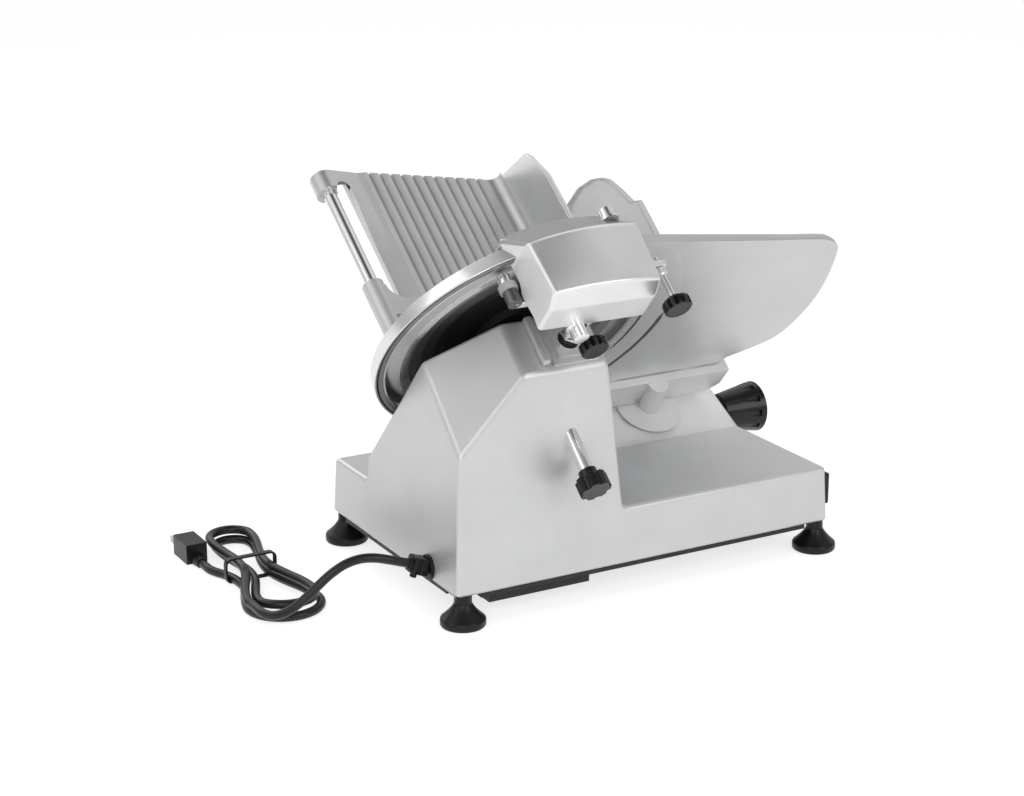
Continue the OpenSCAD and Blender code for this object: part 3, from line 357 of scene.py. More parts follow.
def lathe(name, profile, place, steps=96, start=0.0, turn=2 * pi):
    bm = bmesh.new()
    turned(bm, profile, place, steps, start, turn)
    bmesh.ops.recalc_face_normals(bm, faces=bm.faces)
    return from_bm(name, bm)


def rod_profile(h0, h1, r, ease=0.6):
    """Closed profile of a rod from h0 to h1 with eased ends."""
    return [(0.01, h0), (r - ease, h0), (r - 0.3 * ease, h0 + 0.3 * ease), (r, h0 + ease), (r, h1 - ease),
            (r - 0.3 * ease, h1 - 0.3 * ease), (r - ease, h1), (0.01, h1)]


def block(bm, place, x, y, z, ease):
    """Box in any frame, its edges eased by a bevel."""
    v = [bm.verts.new(place(a, b, c)) for a in x for b in y for c in z]
    quads = [(0, 1, 3, 2), (4, 6, 7, 5), (0, 4, 5, 1), (2, 3, 7, 6), (0, 2, 6, 4), (1, 5, 7, 3)]
    faces = [bm.faces.new([v[i] for i in q]) for q in quads]
    edges = list({e for f in faces for e in f.edges})
    bmesh.ops.bevel(bm, geom=edges, offset=ease * MM, segments=2, profile=0.5, affect="EDGES", clamp_overlap=True)


def rounded(points, radii, steps=6, closed=False):
    """Polyline with its corners rounded by arcs of the given radii."""
    pts = [Vector(p) for p in points]
    out = []
    for i, p in enumerate(pts):
        r = radii[i] if isinstance(radii, (list, tuple)) else radii
        if r <= 0 or (not closed and i in (0, len(pts) - 1)):
            out.append(p)
            continue
        a, b = (pts[i - 1] - p), (pts[(i + 1) % len(pts)] - p)
        la, lb = a.length, b.length
        a.normalize()
        b.normalize()
        half = a.angle(b) / 2
        cut = min(r / tan(half), 0.48 * la, 0.48 * lb)
        start, end = p + a * cut, p + b * cut
        for k in range(steps + 1):
            s = k / steps
            out.append((1 - s) ** 2 * start + 2 * s * (1 - s) * p + s * s * end)
    return out


def eased_slab(bm, outline, place, h0, h1, low, high, steps=4):
    """Plate of a closed outline from h0 to h1; low and high ease its rims, by one value or one a point."""
    pts = [Vector((p[0], p[1])) for p in outline]
    turn = sum(a.x * b.y - b.x * a.y for a, b in zip(pts, pts[1:] + pts[:1]))
    lows = low if isinstance(low, list) else [low] * len(pts)
    highs = high if isinstance(high, list) else [high] * len(pts)
    inward = []
    for i, p in enumerate(pts):
        a, b = (p - pts[i - 1]).normalized(), (pts[(i + 1) % len(pts)] - p).normalized()
        across = [Vector((-e.y, e.x)) * (1 if turn > 0 else -1) for e in (a, b)]
        inward.append((across[0] + across[1]) / max(0.5, 1 + across[0].dot(across[1])))
    rings = []
    for k in range(steps + 1):
        bend = k / steps * pi / 2
        rings.append([(p + m * r * (1 - sin(bend)), h0 + r * (1 - cos(bend)))
                      for p, m, r in zip(pts, inward, lows)])
    for k in range(steps, -1, -1):
        bend = k / steps * pi / 2
        rings.append([(p + m * r * (1 - sin(bend)), h1 - r * (1 - cos(bend)))
                      for p, m, r in zip(pts, inward, highs)])
    verts = [[bm.verts.new(place(p.x, p.y, h)) for p, h in ring] for ring in rings]
    bm.faces.new(verts[0])
    bm.faces.new(verts[-1])
    for a, b in zip(verts, verts[1:]):
        for i in range(len(pts)):
            k = (i + 1) % len(pts)
            bm.faces.new([a[i], a[k], b[k], b[i]])


def loft(bm, rows):
    """Closed sections, one after the other, joined and capped."""
    verts = [[bm.verts.new(p) for p in r] for r in rows]
    for a, b in zip(verts, verts[1:]):
        for i in range(len(a)):
            k = (i + 1) % len(a)
            bm.faces.new([a[i], a[k], b[k], b[i]])
    bm.faces.new(verts[0])
    bm.faces.new(verts[-1])


def finished(name, bm, node, mat, sharp=32):
    """Piece from a bmesh of closed forms."""
    bmesh.ops.recalc_face_normals(bm, faces=bm.faces)
    return settle(from_bm(name, bm, sharp), node, mat)


# Cord: free stretch and hank as one line, from the source's own route

CORD_R = 4.5
LEAD = [(59, 445, 20), (59, 454, 23.3), (59.5, 466, 27.5), (61, 480, 31.5), (63, 494, 32.5), (65, 508, 29.5),
        (67, 521, 22.5), (69, 533, 13), (71, 544, 3), (74, 555, -6), (79, 565, -13), (87, 573, -17),
        (98, 578, -17.9), (110, 579, -17.9), (125, 579, -17.9)]
TAIL = [(196, 559.5), (207, 559.5), (218, 561), (229, 564.5), (239, 569), (248, 571.6), (257, 572), (267, 572)]
HANK_X, HANK_Y, HANK_HALF, HANK_BEND = 216, 541, 120, 38
HANK_DRAW, HANK_TAPER, HANK_LEAN, HANK_END = 15, 12, 14, 52
HANK_STEP, HANK_LAYER, RUN_SHARE = 11.2, 9.6, 0.27
HANK_RUN = HANK_HALF - HANK_BEND
HANK_TURNS = 2 + RUN_SHARE * HANK_END / (2 * HANK_RUN)
HANK_LOW = CORD_R - FOOT_H


def along_run(x):
    """Share of the hank's straight run at x."""
    return min(1, max(0, (x + HANK_RUN) / (2 * HANK_RUN)))


def hank_point(s):
    """Point of the hank after s turns: two runs and two bends a turn, drawn in at the waist."""
    f, inset = s % 1, HANK_STEP * min(s, HANK_TURNS - s)
    r = HANK_BEND - inset
    e = r - HANK_TAPER
    if f < RUN_SHARE:
        x = -HANK_RUN + 2 * HANK_RUN * f / RUN_SHARE
        y = r - HANK_TAPER * along_run(x)
    elif f < 0.5:
        a = pi * (f - RUN_SHARE) / (0.5 - RUN_SHARE)
        x, y = HANK_RUN + e * sin(a), e * cos(a)
    elif f < 0.5 + RUN_SHARE:
        x = HANK_RUN - 2 * HANK_RUN * (f - 0.5) / RUN_SHARE
        y = HANK_TAPER * along_run(x) - r
    else:
        a = pi * (f - 0.5 - RUN_SHARE) / (0.5 - RUN_SHARE)
        x, y = -HANK_RUN - r * sin(a), -r * cos(a)
    waist = 0 if abs(x) > HANK_RUN else HANK_DRAW * cos(pi / 2 * x / HANK_RUN) ** 2
    c = (s - HANK_TURNS / 2) / (RUN_SHARE / 2)
    level = 1 if c < -1 else 0 if c > 1 else (1 - sin(pi / 2 * c)) / 2
    side = (y > 0) - (y < 0)
    return (HANK_X + x, HANK_Y + y - side * waist - HANK_LEAN * along_run(x), HANK_LOW + HANK_LAYER * level)


def smooth_line(points, parts=4):
    """Catmull-Rom line through the points."""
    pts = [Vector(p) for p in points]
    out = []
    for i in range(len(pts) - 1):
        a, b, c, d = pts[max(i - 1, 0)], pts[i], pts[i + 1], pts[min(i + 2, len(pts) - 1)]
        for k in range(parts):
            t = k / parts
            out.append(0.5 * (2 * b + (c - a) * t + (2 * a - 5 * b + 4 * c - d) * t * t
                              + (3 * b - a - 3 * c + d) * t * t * t))
    return out + [pts[-1]]


hank_count = int(HANK_TURNS * 24) + 1
hank_line = [hank_point(HANK_TURNS * i / hank_count) for i in range(hank_count + 1)]
tail_line = [(x, y, HANK_LOW) for x, y in TAIL]
cord_line = [row(*p) for p in smooth_line(LEAD + hank_line + tail_line, 4)]
curve = bpy.data.curves.new("cord", "CURVE")
curve.dimensions = "3D"
curve.bevel_depth = CORD_R * MM
curve.bevel_resolution = 5
curve.use_fill_caps = True
spline = curve.splines.new("POLY")
spline.points.add(len(cord_line) - 1)
for p, q in zip(spline.points, cord_line):
    p.co = (*q, 1)
cord = settle(link("cord", curve), "cord_lead", "cord", "cord_hank")

plug = dress("plug_body", "rubber", 2.2, angle=30, segments=4)
prongs = dress("plug_prongs", "prong", 0.3)
TIE_X, TIE_Y, TIE_TOP, TIE_ROUND, TIE_THICK = (213, 219), (514.4, 568.4), -6.3, 7.5, 1.8


def strap_line(inset):
    """Rounded outline of the tie across the hank, in (y, z)."""
    y0, y1, z0, z1 = TIE_Y[0] + inset, TIE_Y[1] - inset, inset - FOOT_H, TIE_TOP - inset
    return rounded([(y0, z0, 0), (y1, z0, 0), (y1, z1, 0), (y0, z1, 0)], TIE_ROUND - inset, 7, True)


bm = bmesh.new()
band(bm, strap_line(0), strap_line(TIE_THICK), lambda p, x: row(x, p[0], p[1]), *TIE_X)
tie = finished("piece_hank_tie", bm, "hank_tie", "rubber")

# Base, cover, feet; platform and slope meet in a crease
CREASE_X, CREASE_Z = 156.0, 58.0


def off_crease(e):
    """Whether an edge isn't the crease, over which the skirt slides."""
    return any(abs(v.co.x / MM + ORIGIN_X - CREASE_X) > 1 or abs(v.co.z / MM - FOOT_H - CREASE_Z) > 1
               for v in e.verts)


def painted_light_on_slope(n, y, u, r):
    """Rule of painted light: the slope under the gauge plate takes a lighter copy of the cast aluminium, standing
    in for the light that falls on it.
    """
    x, z = n * cos(TILT) - u * sin(TILT), n * sin(TILT) + u * cos(TILT)
    off = z - CREASE_Z - (x - CREASE_X) * tan(FACE_SLOPE)
    return 0 if x > CREASE_X + 2 and abs(off) < 2.5 else None


# The slope under the gauge plate takes the lighter copy of the casting: painted light
tint(dress("base_housing", "cast", 4.5, least=12, angle=9, segments=4, clamp=False, pick=off_crease),
     ["cast_painted_light"], painted_light_on_slope)
dress("bottom_cover", "cover", 0.8)
dress("switch_housing", "black", 1.6, least=3)
GLAND_RISE, GLAND_END, GLAND_R = radians(20), (59, 445, 20), 12.5
GLAND_FOOT = (59, 423.4, 12.5)


def gland_place(x, y, s):
    """Across, up and along the strain relief; s is 0 at the cord's end of it."""
    return row(GLAND_END[0] + x, GLAND_END[1] - y * sin(GLAND_RISE) + s * cos(GLAND_RISE),
               GLAND_END[2] + y * cos(GLAND_RISE) + s * sin(GLAND_RISE))


bm = bmesh.new()
turned(bm, rod_profile(-4, 4.6, GLAND_R, 1.4),
       lambda x, y, h: row(GLAND_FOOT[0] + x, GLAND_FOOT[1] + h, GLAND_FOOT[2] + y), 48)
block(bm, gland_place, (-8.5, 8.5), (-8.5, 8.5), (-19, -9.2), 2.2)
block(bm, gland_place, (-8, 8), (-8, 8), (-9.6, -8.2), 0.3)
block(bm, gland_place, (-8.5, 8.5), (-8.5, 8.5), (-8.6, -1), 2.2)
turned(bm, rod_profile(-12.5, -7, 3.4, 0.8), lambda x, y, h: gland_place(x, h, y - 8), 24)
turned(bm, [(4.6, -2), (6.4, -2), (6.2, 0.6), (5.4, 1.4), (4.6, 1.4)], lambda x, y, h: gland_place(x, y, h), 32)
finished("piece_cord_gland", bm, "cord_gland", "rubber")

FOOT_PLACES = {"foot_front_left": (12, 7), "foot_front_right": (266, 7), "foot_rear_left": (12, 413),
               "foot_rear_right": (266, 413)}
FOOT_R, NECK_R = 22.0, 8.5


def foot_profile():
    """Profile of a bell foot, from its sole over the rim and the hollow bell to the neck."""
    bell = [(NECK_R + (FOOT_R - 0.6 - NECK_R) * (1 - i / 14) ** 1.45, -FOOT_H + 8.2 + 15.8 * i / 14)
            for i in range(15)]
    rim = [(0.1, -FOOT_H), (FOOT_R - 2.6, -FOOT_H), (FOOT_R - 1.2, -FOOT_H + 0.5), (FOOT_R - 0.25, -FOOT_H + 1.7),
           (FOOT_R, -FOOT_H + 3), (FOOT_R, -FOOT_H + 6.0), (FOOT_R - 0.2, -FOOT_H + 7.2)]
    return rim + bell + [(NECK_R, -0.01), (0.1, -0.01)]


for foot, (fx, fy) in FOOT_PLACES.items():
    settle(lathe("piece_" + foot, foot_profile(), lambda x, y, h: row(fx + x, fy + y, h)), foot, "rubber")

# Blade group and drive
for node, mat, width in [("blade_cover", "cast", 0.6), ("tie_rod", "chrome", 0.5), ("tie_knob", "black", 1.0),
                         ("blade_axle", "machined", 0.4), ("sharpener_post", "chrome", 0.6)]:
    dress(node, mat, width)
# The blade's hub, in the hollow behind the blade, takes the black painted shade
for node, mat in [("motor_stator", "machined"), ("motor_plate", "machined"), ("capacitor", "black"),
                  ("drive_belt", "rubber"), ("blade_hub", "painted_shade_black"), ("hub_bearings", "machined"),
                  ("blade_screws", "machined"), ("motor_rotor", "machined"), ("motor_pulley", "machined"),
                  ("gauge_rod", "chrome"), ("gauge_slide", "machined"), ("index_shaft", "machined"),
                  ("carriage_rail", "chrome"), ("guide_bar", "machined"), ("carriage_slide", "machined"),
                  ("cover_screws", "machined")]:
    NODES[node].data.materials.clear()
    NODES[node].data.materials.append(M[mat])

# Painted shade on the blade's back: its colour steps from black in the hollow at the hub through greys to a
# painted highlight on its flat rim, over these radii, and the slope beyond the rim takes a darker copy of the
# ground steel
BLADE_SHADE_STEPS, HOLLOW_R, RIM_R = (82.0, 92.0, 104.0), 118.5, 128.0
HOLLOW_N, RIM_N, BORE_R = 219.5, 213.0, 16.0
on_axle = along_n(BLADE_Y, BLADE_U)
bm = bmesh.new()
turned(bm, [(BORE_R, HOLLOW_N), *[(r, HOLLOW_N) for r in BLADE_SHADE_STEPS], (HOLLOW_R - 0.5, HOLLOW_N),
            (HOLLOW_R, RIM_N + 1.2), (HOLLOW_R + 1.2, RIM_N), (RIM_R - 0.6, RIM_N), (RIM_R, RIM_N + 0.3),
            (133, 215.5), (146, 222), (150, 225), (145, 224.4), (120, 224), (BORE_R, 222.5)], on_axle, 200)
# Painted shade and highlight by radius on the blade's back; the food side keeps the ground steel
tint(finished("piece_blade", bm, "blade", "blade"),
     ["painted_shade_black", "painted_shade_steel", "blade_painted_shade_grey", "blade_painted_shade_mid", "blade_painted_rim_highlight", "blade_painted_slope_shade"],
     lambda n, y, u, r: None if n > 223 else sum(r > limit for limit in (*BLADE_SHADE_STEPS, HOLLOW_R + 0.1, RIM_R)))

RING_R, RING_IN, RING_BACK, RING_DEPTH = 154.0, 144.5, 210.5, 13.0
RING_FROM, RING_TO = radians(236), radians(428)
bm = bmesh.new()
ring_front = RING_BACK + RING_DEPTH
turned(bm, [(RING_IN - 1.6, RING_BACK + 1.2), (RING_IN - 1.2, RING_BACK + 0.4), (RING_IN + 0.4, RING_BACK + 0.4),
            (RING_IN + 0.8, RING_BACK), (RING_R - 3.9, RING_BACK), (RING_R - 3.6, RING_BACK + 0.5),
            (RING_R - 3.5, RING_BACK + 1.8), (RING_R - 2.7, RING_BACK + 1.8), (RING_R - 2.6, RING_BACK + 0.5),
            (RING_R - 2.3, RING_BACK), (RING_R - 1.0, RING_BACK), (RING_R - 0.3, RING_BACK + 0.3),
            (RING_R, RING_BACK + 1), (RING_R, ring_front - 0.8), (RING_R - 0.3, ring_front - 0.2),
            (RING_R - 0.9, ring_front), (RING_R - 2.2, ring_front), (RING_R - 2.5, ring_front - 0.4),
            (RING_R - 2.5, RING_BACK + 4), (RING_IN - 1.6, RING_BACK + 4)],
       on_axle, 160, RING_FROM, RING_TO - RING_FROM)
for lug in (260, 285, 310):
    ly, lu = (RING_R - 4.75) * cos(radians(lug)), (RING_R - 4.75) * sin(radians(lug))
    turned(bm, rod_profile(201, RING_BACK + 1, 7), along_n(BLADE_Y + ly, BLADE_U + lu), 32)
# Painted shade: the ring's back face takes the darker copy of the turned aluminium, and its small groove the black
# painted shade
tint(finished("piece_ring_guard", bm, "ring_guard", "ring"), ["ring_painted_shade", "painted_shade_black"],
     lambda n, y, u, r: 1 if RING_R - 3.7 < r < RING_R - 2.5 and RING_BACK + 1 < n < RING_BACK + 2.5
     else 0 if RING_IN + 0.9 < r < RING_R - 1.2 and n < RING_BACK + 1 else None)

# Gauge: plate with a smooth outline round the blade, and a thin web behind the blade's edge
GAUGE_ARC, GAUGE_LOW, GAUGE_IN = 163.0, -23.0, 152.3
GAUGE_BACK, GAUGE_FRONT, FLANGE_BACK = 215.0, 225.0, 222.5
GAUGE_TOP = 190.0
TOP_FRONT_Y, TOP_REAR_Y, TOP_REAR_U = -8, 225, 229.5
TOP_SLOPE = (TOP_REAR_U - GAUGE_TOP) / (TOP_REAR_Y - TOP_FRONT_Y)
edge = [(10, -14), (-22, 0), (-41, 14), (-52, 40), (-57, 75), (-54.5, 108), (-48, 140), (-41, 163), (-35, 174.5),
        (-22, 184.5), (TOP_FRONT_Y, GAUGE_TOP), (30, GAUGE_TOP + (30 - TOP_FRONT_Y) * TOP_SLOPE)]
curved = [(p[0], p[1]) for p in smooth_line([(x, y, 0) for x, y in edge], 5)]
ARC_FROM, ARC_TO = radians(122), pi + asin((BLADE_U - GAUGE_LOW) / GAUGE_ARC)
FLANGE_FROM, WEB_FROM = radians(165), radians(96)


def arc_r(a):
    """Radius of the plate's arc, drawn in from the flange's end upwards."""
    return GAUGE_ARC - (GAUGE_ARC - GAUGE_IN) * smooth_step(pi - a, radians(-6), radians(12))


arc_turns = [ARC_FROM + (ARC_TO - ARC_FROM) * i / 72 for i in range(73)]
arc = [(BLADE_Y + arc_r(a) * cos(a), BLADE_U + arc_r(a) * sin(a)) for a in arc_turns]
outline = curved + arc + [(15, GAUGE_LOW)]
FRONT_EASE, BACK_EASE, ARC_FRONT_EASE, ARC_BACK_EASE = 5.0, 1.4, 0.1, 0.7
bm = bmesh.new()
eased_slab(bm, outline, lambda y, u, n: tn(n, y, u), GAUGE_BACK, GAUGE_FRONT,
           [BACK_EASE] * len(curved) + [ARC_BACK_EASE] * (len(arc) + 1),
           [FRONT_EASE] * len(curved) + [ARC_FRONT_EASE] * (len(arc) + 1))
turned(bm, [(GAUGE_IN, FLANGE_BACK + 0.4), (GAUGE_IN + 0.4, FLANGE_BACK), (GAUGE_ARC + 0.5, FLANGE_BACK),
            (GAUGE_ARC + 0.5, GAUGE_FRONT), (GAUGE_IN + 0.4, GAUGE_FRONT), (GAUGE_IN, GAUGE_FRONT - 0.4)],
       on_axle, 60, FLANGE_FROM, ARC_TO - FLANGE_FROM)
WEB_IN, WEB_OUT, WEB_WIDE, WEB_BACK, WEB_FRONT = 134.5, 157.4, 168.0, 214.7, 215.5


def web_rim(a):
    """Outer radius of the web: it stays under the plate's top edge and covers the plate's arc there."""
    wide = WEB_OUT + (WEB_WIDE - WEB_OUT) * smooth_step(pi - a, radians(-4), radians(8))
    top = GAUGE_TOP + TOP_SLOPE * (BLADE_Y - TOP_FRONT_Y) - BLADE_U - 1
    return min(wide, top / max(0.1, sin(a) - TOP_SLOPE * cos(a)))


rows = []
for i in range(91):
    a = WEB_FROM + (ARC_TO - WEB_FROM) * i / 90
    rim = web_rim(a)
    section = [(WEB_IN, WEB_FRONT), (WEB_IN, WEB_BACK + 0.2), (WEB_IN + 0.2, WEB_BACK), (rim - 6, WEB_BACK),
               (rim, WEB_BACK + 0.4), (rim, WEB_FRONT), (rim - 4, WEB_FRONT)]
    rows.append([on_axle(r * cos(a), r * sin(a), h) for r, h in section])
loft(bm, rows)
finished("piece_gauge_plate", bm, "gauge_plate", "plate")
dress("gauge_bar", "bright", 1.2)
dress("gauge_post", "bright", 0.6)
dress("gauge_skirt", "skirt", 1.2)
dress("index_knob", "black", 1.0)

# Carriage
TRAY_LOW, TRAY_HIGH, TRAY_D, TRAY_UNDER = 232.0, 475.0, 60.0, 52.0
TRAY_LEFT, TRAY_RIGHT, RIB_LEFT, RIB_RIGHT = 374.0, 206.0, 350.0, 223.5
RIB_PITCH, RIB_RISE, GROOVE_HALF, GROOVE_DEEP = 11.5, 0.35, 1.5, 2.6
FILLET, BEVEL_FROM, BEVEL_SLOPE, RIB_COUNT = 12.0, 352.0, radians(12), 11
GROOVE_STOPS = (5.7, 4.4, 3, 2, 1.5, 1.2, 0.8, 0.4, 0, -0.4, -0.8, -1.2, -1.5, -2, -3, -4.4)
ROD_Y, ROD_D, BOSS_R, BOSS_LOW = 396.0, 58.0, 13.0, 452.0
SLOT_MID, SLOT_HALF = 381.5, 7.5


def tray_high(y):
    """Upper edge of the tray, which falls towards the fence."""
    return TRAY_HIGH - max(0, BEVEL_FROM - y) * tan(BEVEL_SLOPE)


def tray_face(y):
    """Height of the tray's face: plain bands, broad ribs with thin grooves, and the hollow up to the fence."""
    if y < TRAY_RIGHT + FILLET:
        return TRAY_D + FILLET - sqrt(max(0, FILLET ** 2 - (TRAY_RIGHT + FILLET - y) ** 2))
    if y > RIB_LEFT or y < RIB_RIGHT:
        return TRAY_D
    off = (RIB_LEFT - y) % RIB_PITCH - RIB_PITCH / 2
    crown = RIB_RISE * sin(pi * abs(off) / RIB_PITCH)
    groove = GROOVE_DEEP * max(0, 1 - (abs(off) / GROOVE_HALF) ** 2)
    return TRAY_D + 0.6 + crown - groove


ys = [TRAY_LEFT, TRAY_LEFT - 0.4, TRAY_LEFT - 1.2, BEVEL_FROM, RIB_LEFT + 0.5]
for i in range(RIB_COUNT):
    valley = RIB_LEFT - RIB_PITCH * (i + 0.5)
    ys += [valley + o for o in GROOVE_STOPS]
ys += [RIB_RIGHT + 0.05, RIB_RIGHT - 0.5, 220]
ys += [TRAY_RIGHT + FILLET * (1 - sin(k / 10 * pi / 2)) for k in range(11)]
rows = []
for y in ys:
    high, face = tray_high(y), tray_face(y) - max(0, y - TRAY_LEFT + 1.2) ** 2
    rows.append([tr(TRAY_LOW, y, TRAY_UNDER), tr(TRAY_LOW, y, face), tr(high - 1.4, y, face),
                 tr(high - 0.4, y, face - 0.4), tr(high, y, face - 1.4), tr(high, y, TRAY_UNDER)])
bm = bmesh.new()
loft(bm, rows)


def slot_end(y):
    """Lower end of the upper link, rounded where the slot ends."""
    return BOSS_LOW + sqrt(max(0, SLOT_HALF ** 2 - (y - SLOT_MID) ** 2))


RAMP_FROM, RAMP_TO, RAMP_RISE, LINK_THICK = 357.0, 392.6, 10.6, 4.0


def ramp(y):
    """Face of the upper link, climbing from the tray to the boss."""
    return TRAY_D + RAMP_RISE * (y - RAMP_FROM) / (RAMP_TO - RAMP_FROM)


def link_section():
    """Section of the upper link and boss, from the tray's left band over the boss and back."""
    slot_ys = [SLOT_MID - SLOT_HALF * cos(k / 8 * pi) for k in range(9)]
    points = [(y, ramp(y)) for y in [RAMP_FROM, 366] + slot_ys]
    points += [(ROD_Y + BOSS_R * cos(radians(q)), ROD_D + BOSS_R * sin(radians(q)))
               for q in range(105, -126, -10)]
    return points + [(y, ramp(y) - LINK_THICK) for y in reversed(slot_ys)] + [(RAMP_FROM, TRAY_D - LINK_THICK)]


section = link_section()
loft(bm, [[tr(slot_end(y), y, d) for y, d in section], [tr(TRAY_HIGH - 1.2, y, d) for y, d in section],
          [tr(TRAY_HIGH, 389 + (y - 389) * 0.96, 58 + (d - 58) * 0.92) for y, d in section]])
RAMP_LOW, RAMP_STEPS = 372.0, 12
rows = []
for y in (RAMP_FROM, 360, 363, 366, 369, 372, TRAY_LEFT):
    climb = [RAMP_LOW + (BOSS_LOW - RAMP_LOW) * k / RAMP_STEPS for k in range(RAMP_STEPS + 1)]
    rows.append([tr(RAMP_LOW, y, TRAY_D - 0.5)]
                + [tr(a, y, TRAY_D + (ramp(y) - TRAY_D) * smooth_step(a, RAMP_LOW, BOSS_LOW)) for a in climb]
                + [tr(BOSS_LOW, y, TRAY_D - 0.5)])
loft(bm, rows)


def on_rod(x, y, h):
    """Place for a turned form round the pusher's rod."""
    return tr(h, ROD_Y + x, ROD_D + y)


turned(bm, [(7.2, BOSS_LOW - 1), (9.0, BOSS_LOW - 1), (9.0, BOSS_LOW + 1), (7.2, BOSS_LOW + 1)], on_rod, 40)
turned(bm, rod_profile(240, 262, 10.5, 1.2), on_rod, 40)
block(bm, tr, (240, 262), (366, 396), (52, 58), 0.8)
finished("piece_carriage_tray", bm, "carriage_tray", "tray", 40)
dress("carriage_fence", "fence", 1.5, least=4, angle=40)
dress("pusher_rod", "chrome", 0.6)
dress("carriage_arm", "cast", 2.5)
dress("carriage_handle", "black", 0.5)
GUARD_Y, GUARD_HALF = 150.0, 2.0
GUARD_MID, RIM_SHARE = (305, 115), 0.035
# Corners (a, d) of the hand guard, with the radius that rounds each
GUARD = [(240, 62, 2), (384, 62, 4), (388, 75, 10), (384, 104, 16), (372, 131, 14), (362, 144, 10), (350, 154, 12),
         (328, 163, 14), (306, 170, 5), (298, 181, 3), (251, 179, 2), (240, 178, 2)]
guard_line = rounded([(a, d, 0) for a, d, r in GUARD], [r for a, d, r in GUARD], 5, True)
bm = bmesh.new()
eased_slab(bm, guard_line, lambda a, d, y: tr(a, y, d), GUARD_Y - GUARD_HALF, GUARD_Y + GUARD_HALF, 0.8, 0.8)
inner_line = [p + (Vector((*GUARD_MID, 0)) - p) * RIM_SHARE for p in guard_line]
for side in (-1, 1):
    band(bm, guard_line, inner_line, lambda p, h: tr(p[0], h, p[1]),
         GUARD_Y + side * (GUARD_HALF - 0.4), GUARD_Y + side * (GUARD_HALF + 0.9))
finished("piece_hand_guard", bm, "hand_guard", "clear")
dress("pusher_sleeve", "chrome", 0.3)
dress("pusher_arm", "cast", 0.8)
dress("pusher_plate", "machined", 0.5, least=3)

# Sharpener
SHARP_LEFT, SHARP_RIGHT, SHARP_LOW, SHARP_WALL = 360.0, 248.0, 222.5, 3.0
ROUND_LEFT, ROUND_RIGHT, FAR_LIP = 3.5, 3.5, 12.0
POST_N, POST_Y = 171.0, 290.0
# The left end's far corner sweeps up and out over the ring by this much along (n, y, u)
SWEEP, SWEEP_WAY = 24.0, (-0.484, 0.472, 0.737)
RIDGE_N = 208.5


def swept(n, y, u):
    """Point of the housing, with the sweep of its far left corner."""
    t = SWEEP * min(1, max(0, (n - RIDGE_N) / 30)) * smooth_step(y, 322, 360)
    return tn(n + SWEEP_WAY[0] * t, y + SWEEP_WAY[1] * t, u + SWEEP_WAY[2] * t)


def crowned(y, left, mid, end):
    """Smooth value along the housing from its left end over its middle to its right end."""
    s = (y - SHARP_RIGHT) / (SHARP_LEFT - SHARP_RIGHT)
    return end * (1 - s) * (1 - 2 * s) + mid * 4 * s * (1 - s) + left * s * (2 * s - 1)


def sharp_corners(y, inset, wall):
    """Open section of the housing from its far lip over the ridge to the foot of its near side."""
    nose = crowned(y, 244, 256, 256) - 1.5 * inset - wall
    crest = crowned(y, 262, 276, 272) - 1.2 * inset - 1.25 * wall
    near = crowned(y, 269.5, 274, 269) - inset - wall
    side = inset + wall
    return [(nose - 0.8, SHARP_LOW - FAR_LIP), (nose, SHARP_LOW - 1), (RIDGE_N, crest), (148 + side, near),
            (142.5 + side, 250), (142.8 + side, SHARP_LOW - 3)]


def sharp_section(y, inset, wall):
    return rounded([(*c, 0) for c in sharp_corners(y, inset, wall)], [0, 3.5, 7, 4.5, 14, 0], 6)


middle_line = sharp_section(304, 0, 0)
divisions = [max(1, round((b - a).length / 5)) for a, b in zip(middle_line, middle_line[1:])]


def sharp_row(y, inset, wall):
    """Points (n, y, u) along one section of the housing, as many in each."""
    line = sharp_section(y, inset, wall)
    out = [a + (b - a) * i / m for a, b, m in zip(line, line[1:], divisions) for i in range(m)] + [line[-1]]
    depth = min(max(y, SHARP_RIGHT + wall), SHARP_LEFT - wall)
    return [(p.x, depth, p.y) for p in out]


stations = []
for k in range(7):
    bend = k / 6 * pi / 2
    stations.append((SHARP_LEFT - ROUND_LEFT * (1 - cos(bend)), ROUND_LEFT * (1 - sin(bend))))
spans = 22
for k in range(1, spans):
    y0, y1 = SHARP_LEFT - ROUND_LEFT, SHARP_RIGHT + ROUND_RIGHT
    stations.append((y0 + (y1 - y0) * k / spans, 0))
for k in range(8, -1, -1):
    bend = k / 8 * pi / 2
    stations.append((SHARP_RIGHT + ROUND_RIGHT * (1 - cos(bend)), ROUND_RIGHT * (1 - sin(bend))))
bm = bmesh.new()
shells = [[sharp_row(y, inset, wall) for y, inset in stations] for wall in (0, SHARP_WALL)]
verts = [[[bm.verts.new(swept(*p)) for p in r] for r in shell] for shell in shells]
# Material places in the housing: painted shade on the far slope, painted light on the end plates
FAR_SHADE_PLACE, END_LIGHT_PLACE = 1, 2
for shell, marks in zip(verts, shells):
    for i, (a, b) in enumerate(zip(shell, shell[1:])):
        for k in range(len(a) - 1):
            face = bm.faces.new([a[k], a[k + 1], b[k + 1], b[k]])
            if marks is shells[0] and marks[i][k + 1][0] > RIDGE_N + 1:
                face.material_index = FAR_SHADE_PLACE
for i in range(len(stations) - 1):
    for k in (0, -1):
        bm.faces.new([verts[0][i][k], verts[0][i + 1][k], verts[1][i + 1][k], verts[1][i][k]])


def plate_foot(n):
    """Lower edge of the left end plate, with the step of its near half."""
    return SHARP_LOW - 1 + 2.5 * smooth_step(n, 184, 190) - 2.5 * smooth_step(n, 196, 236) - 3 * (
        smooth_step(n, 150, 184) - smooth_step(n, 184, 190))


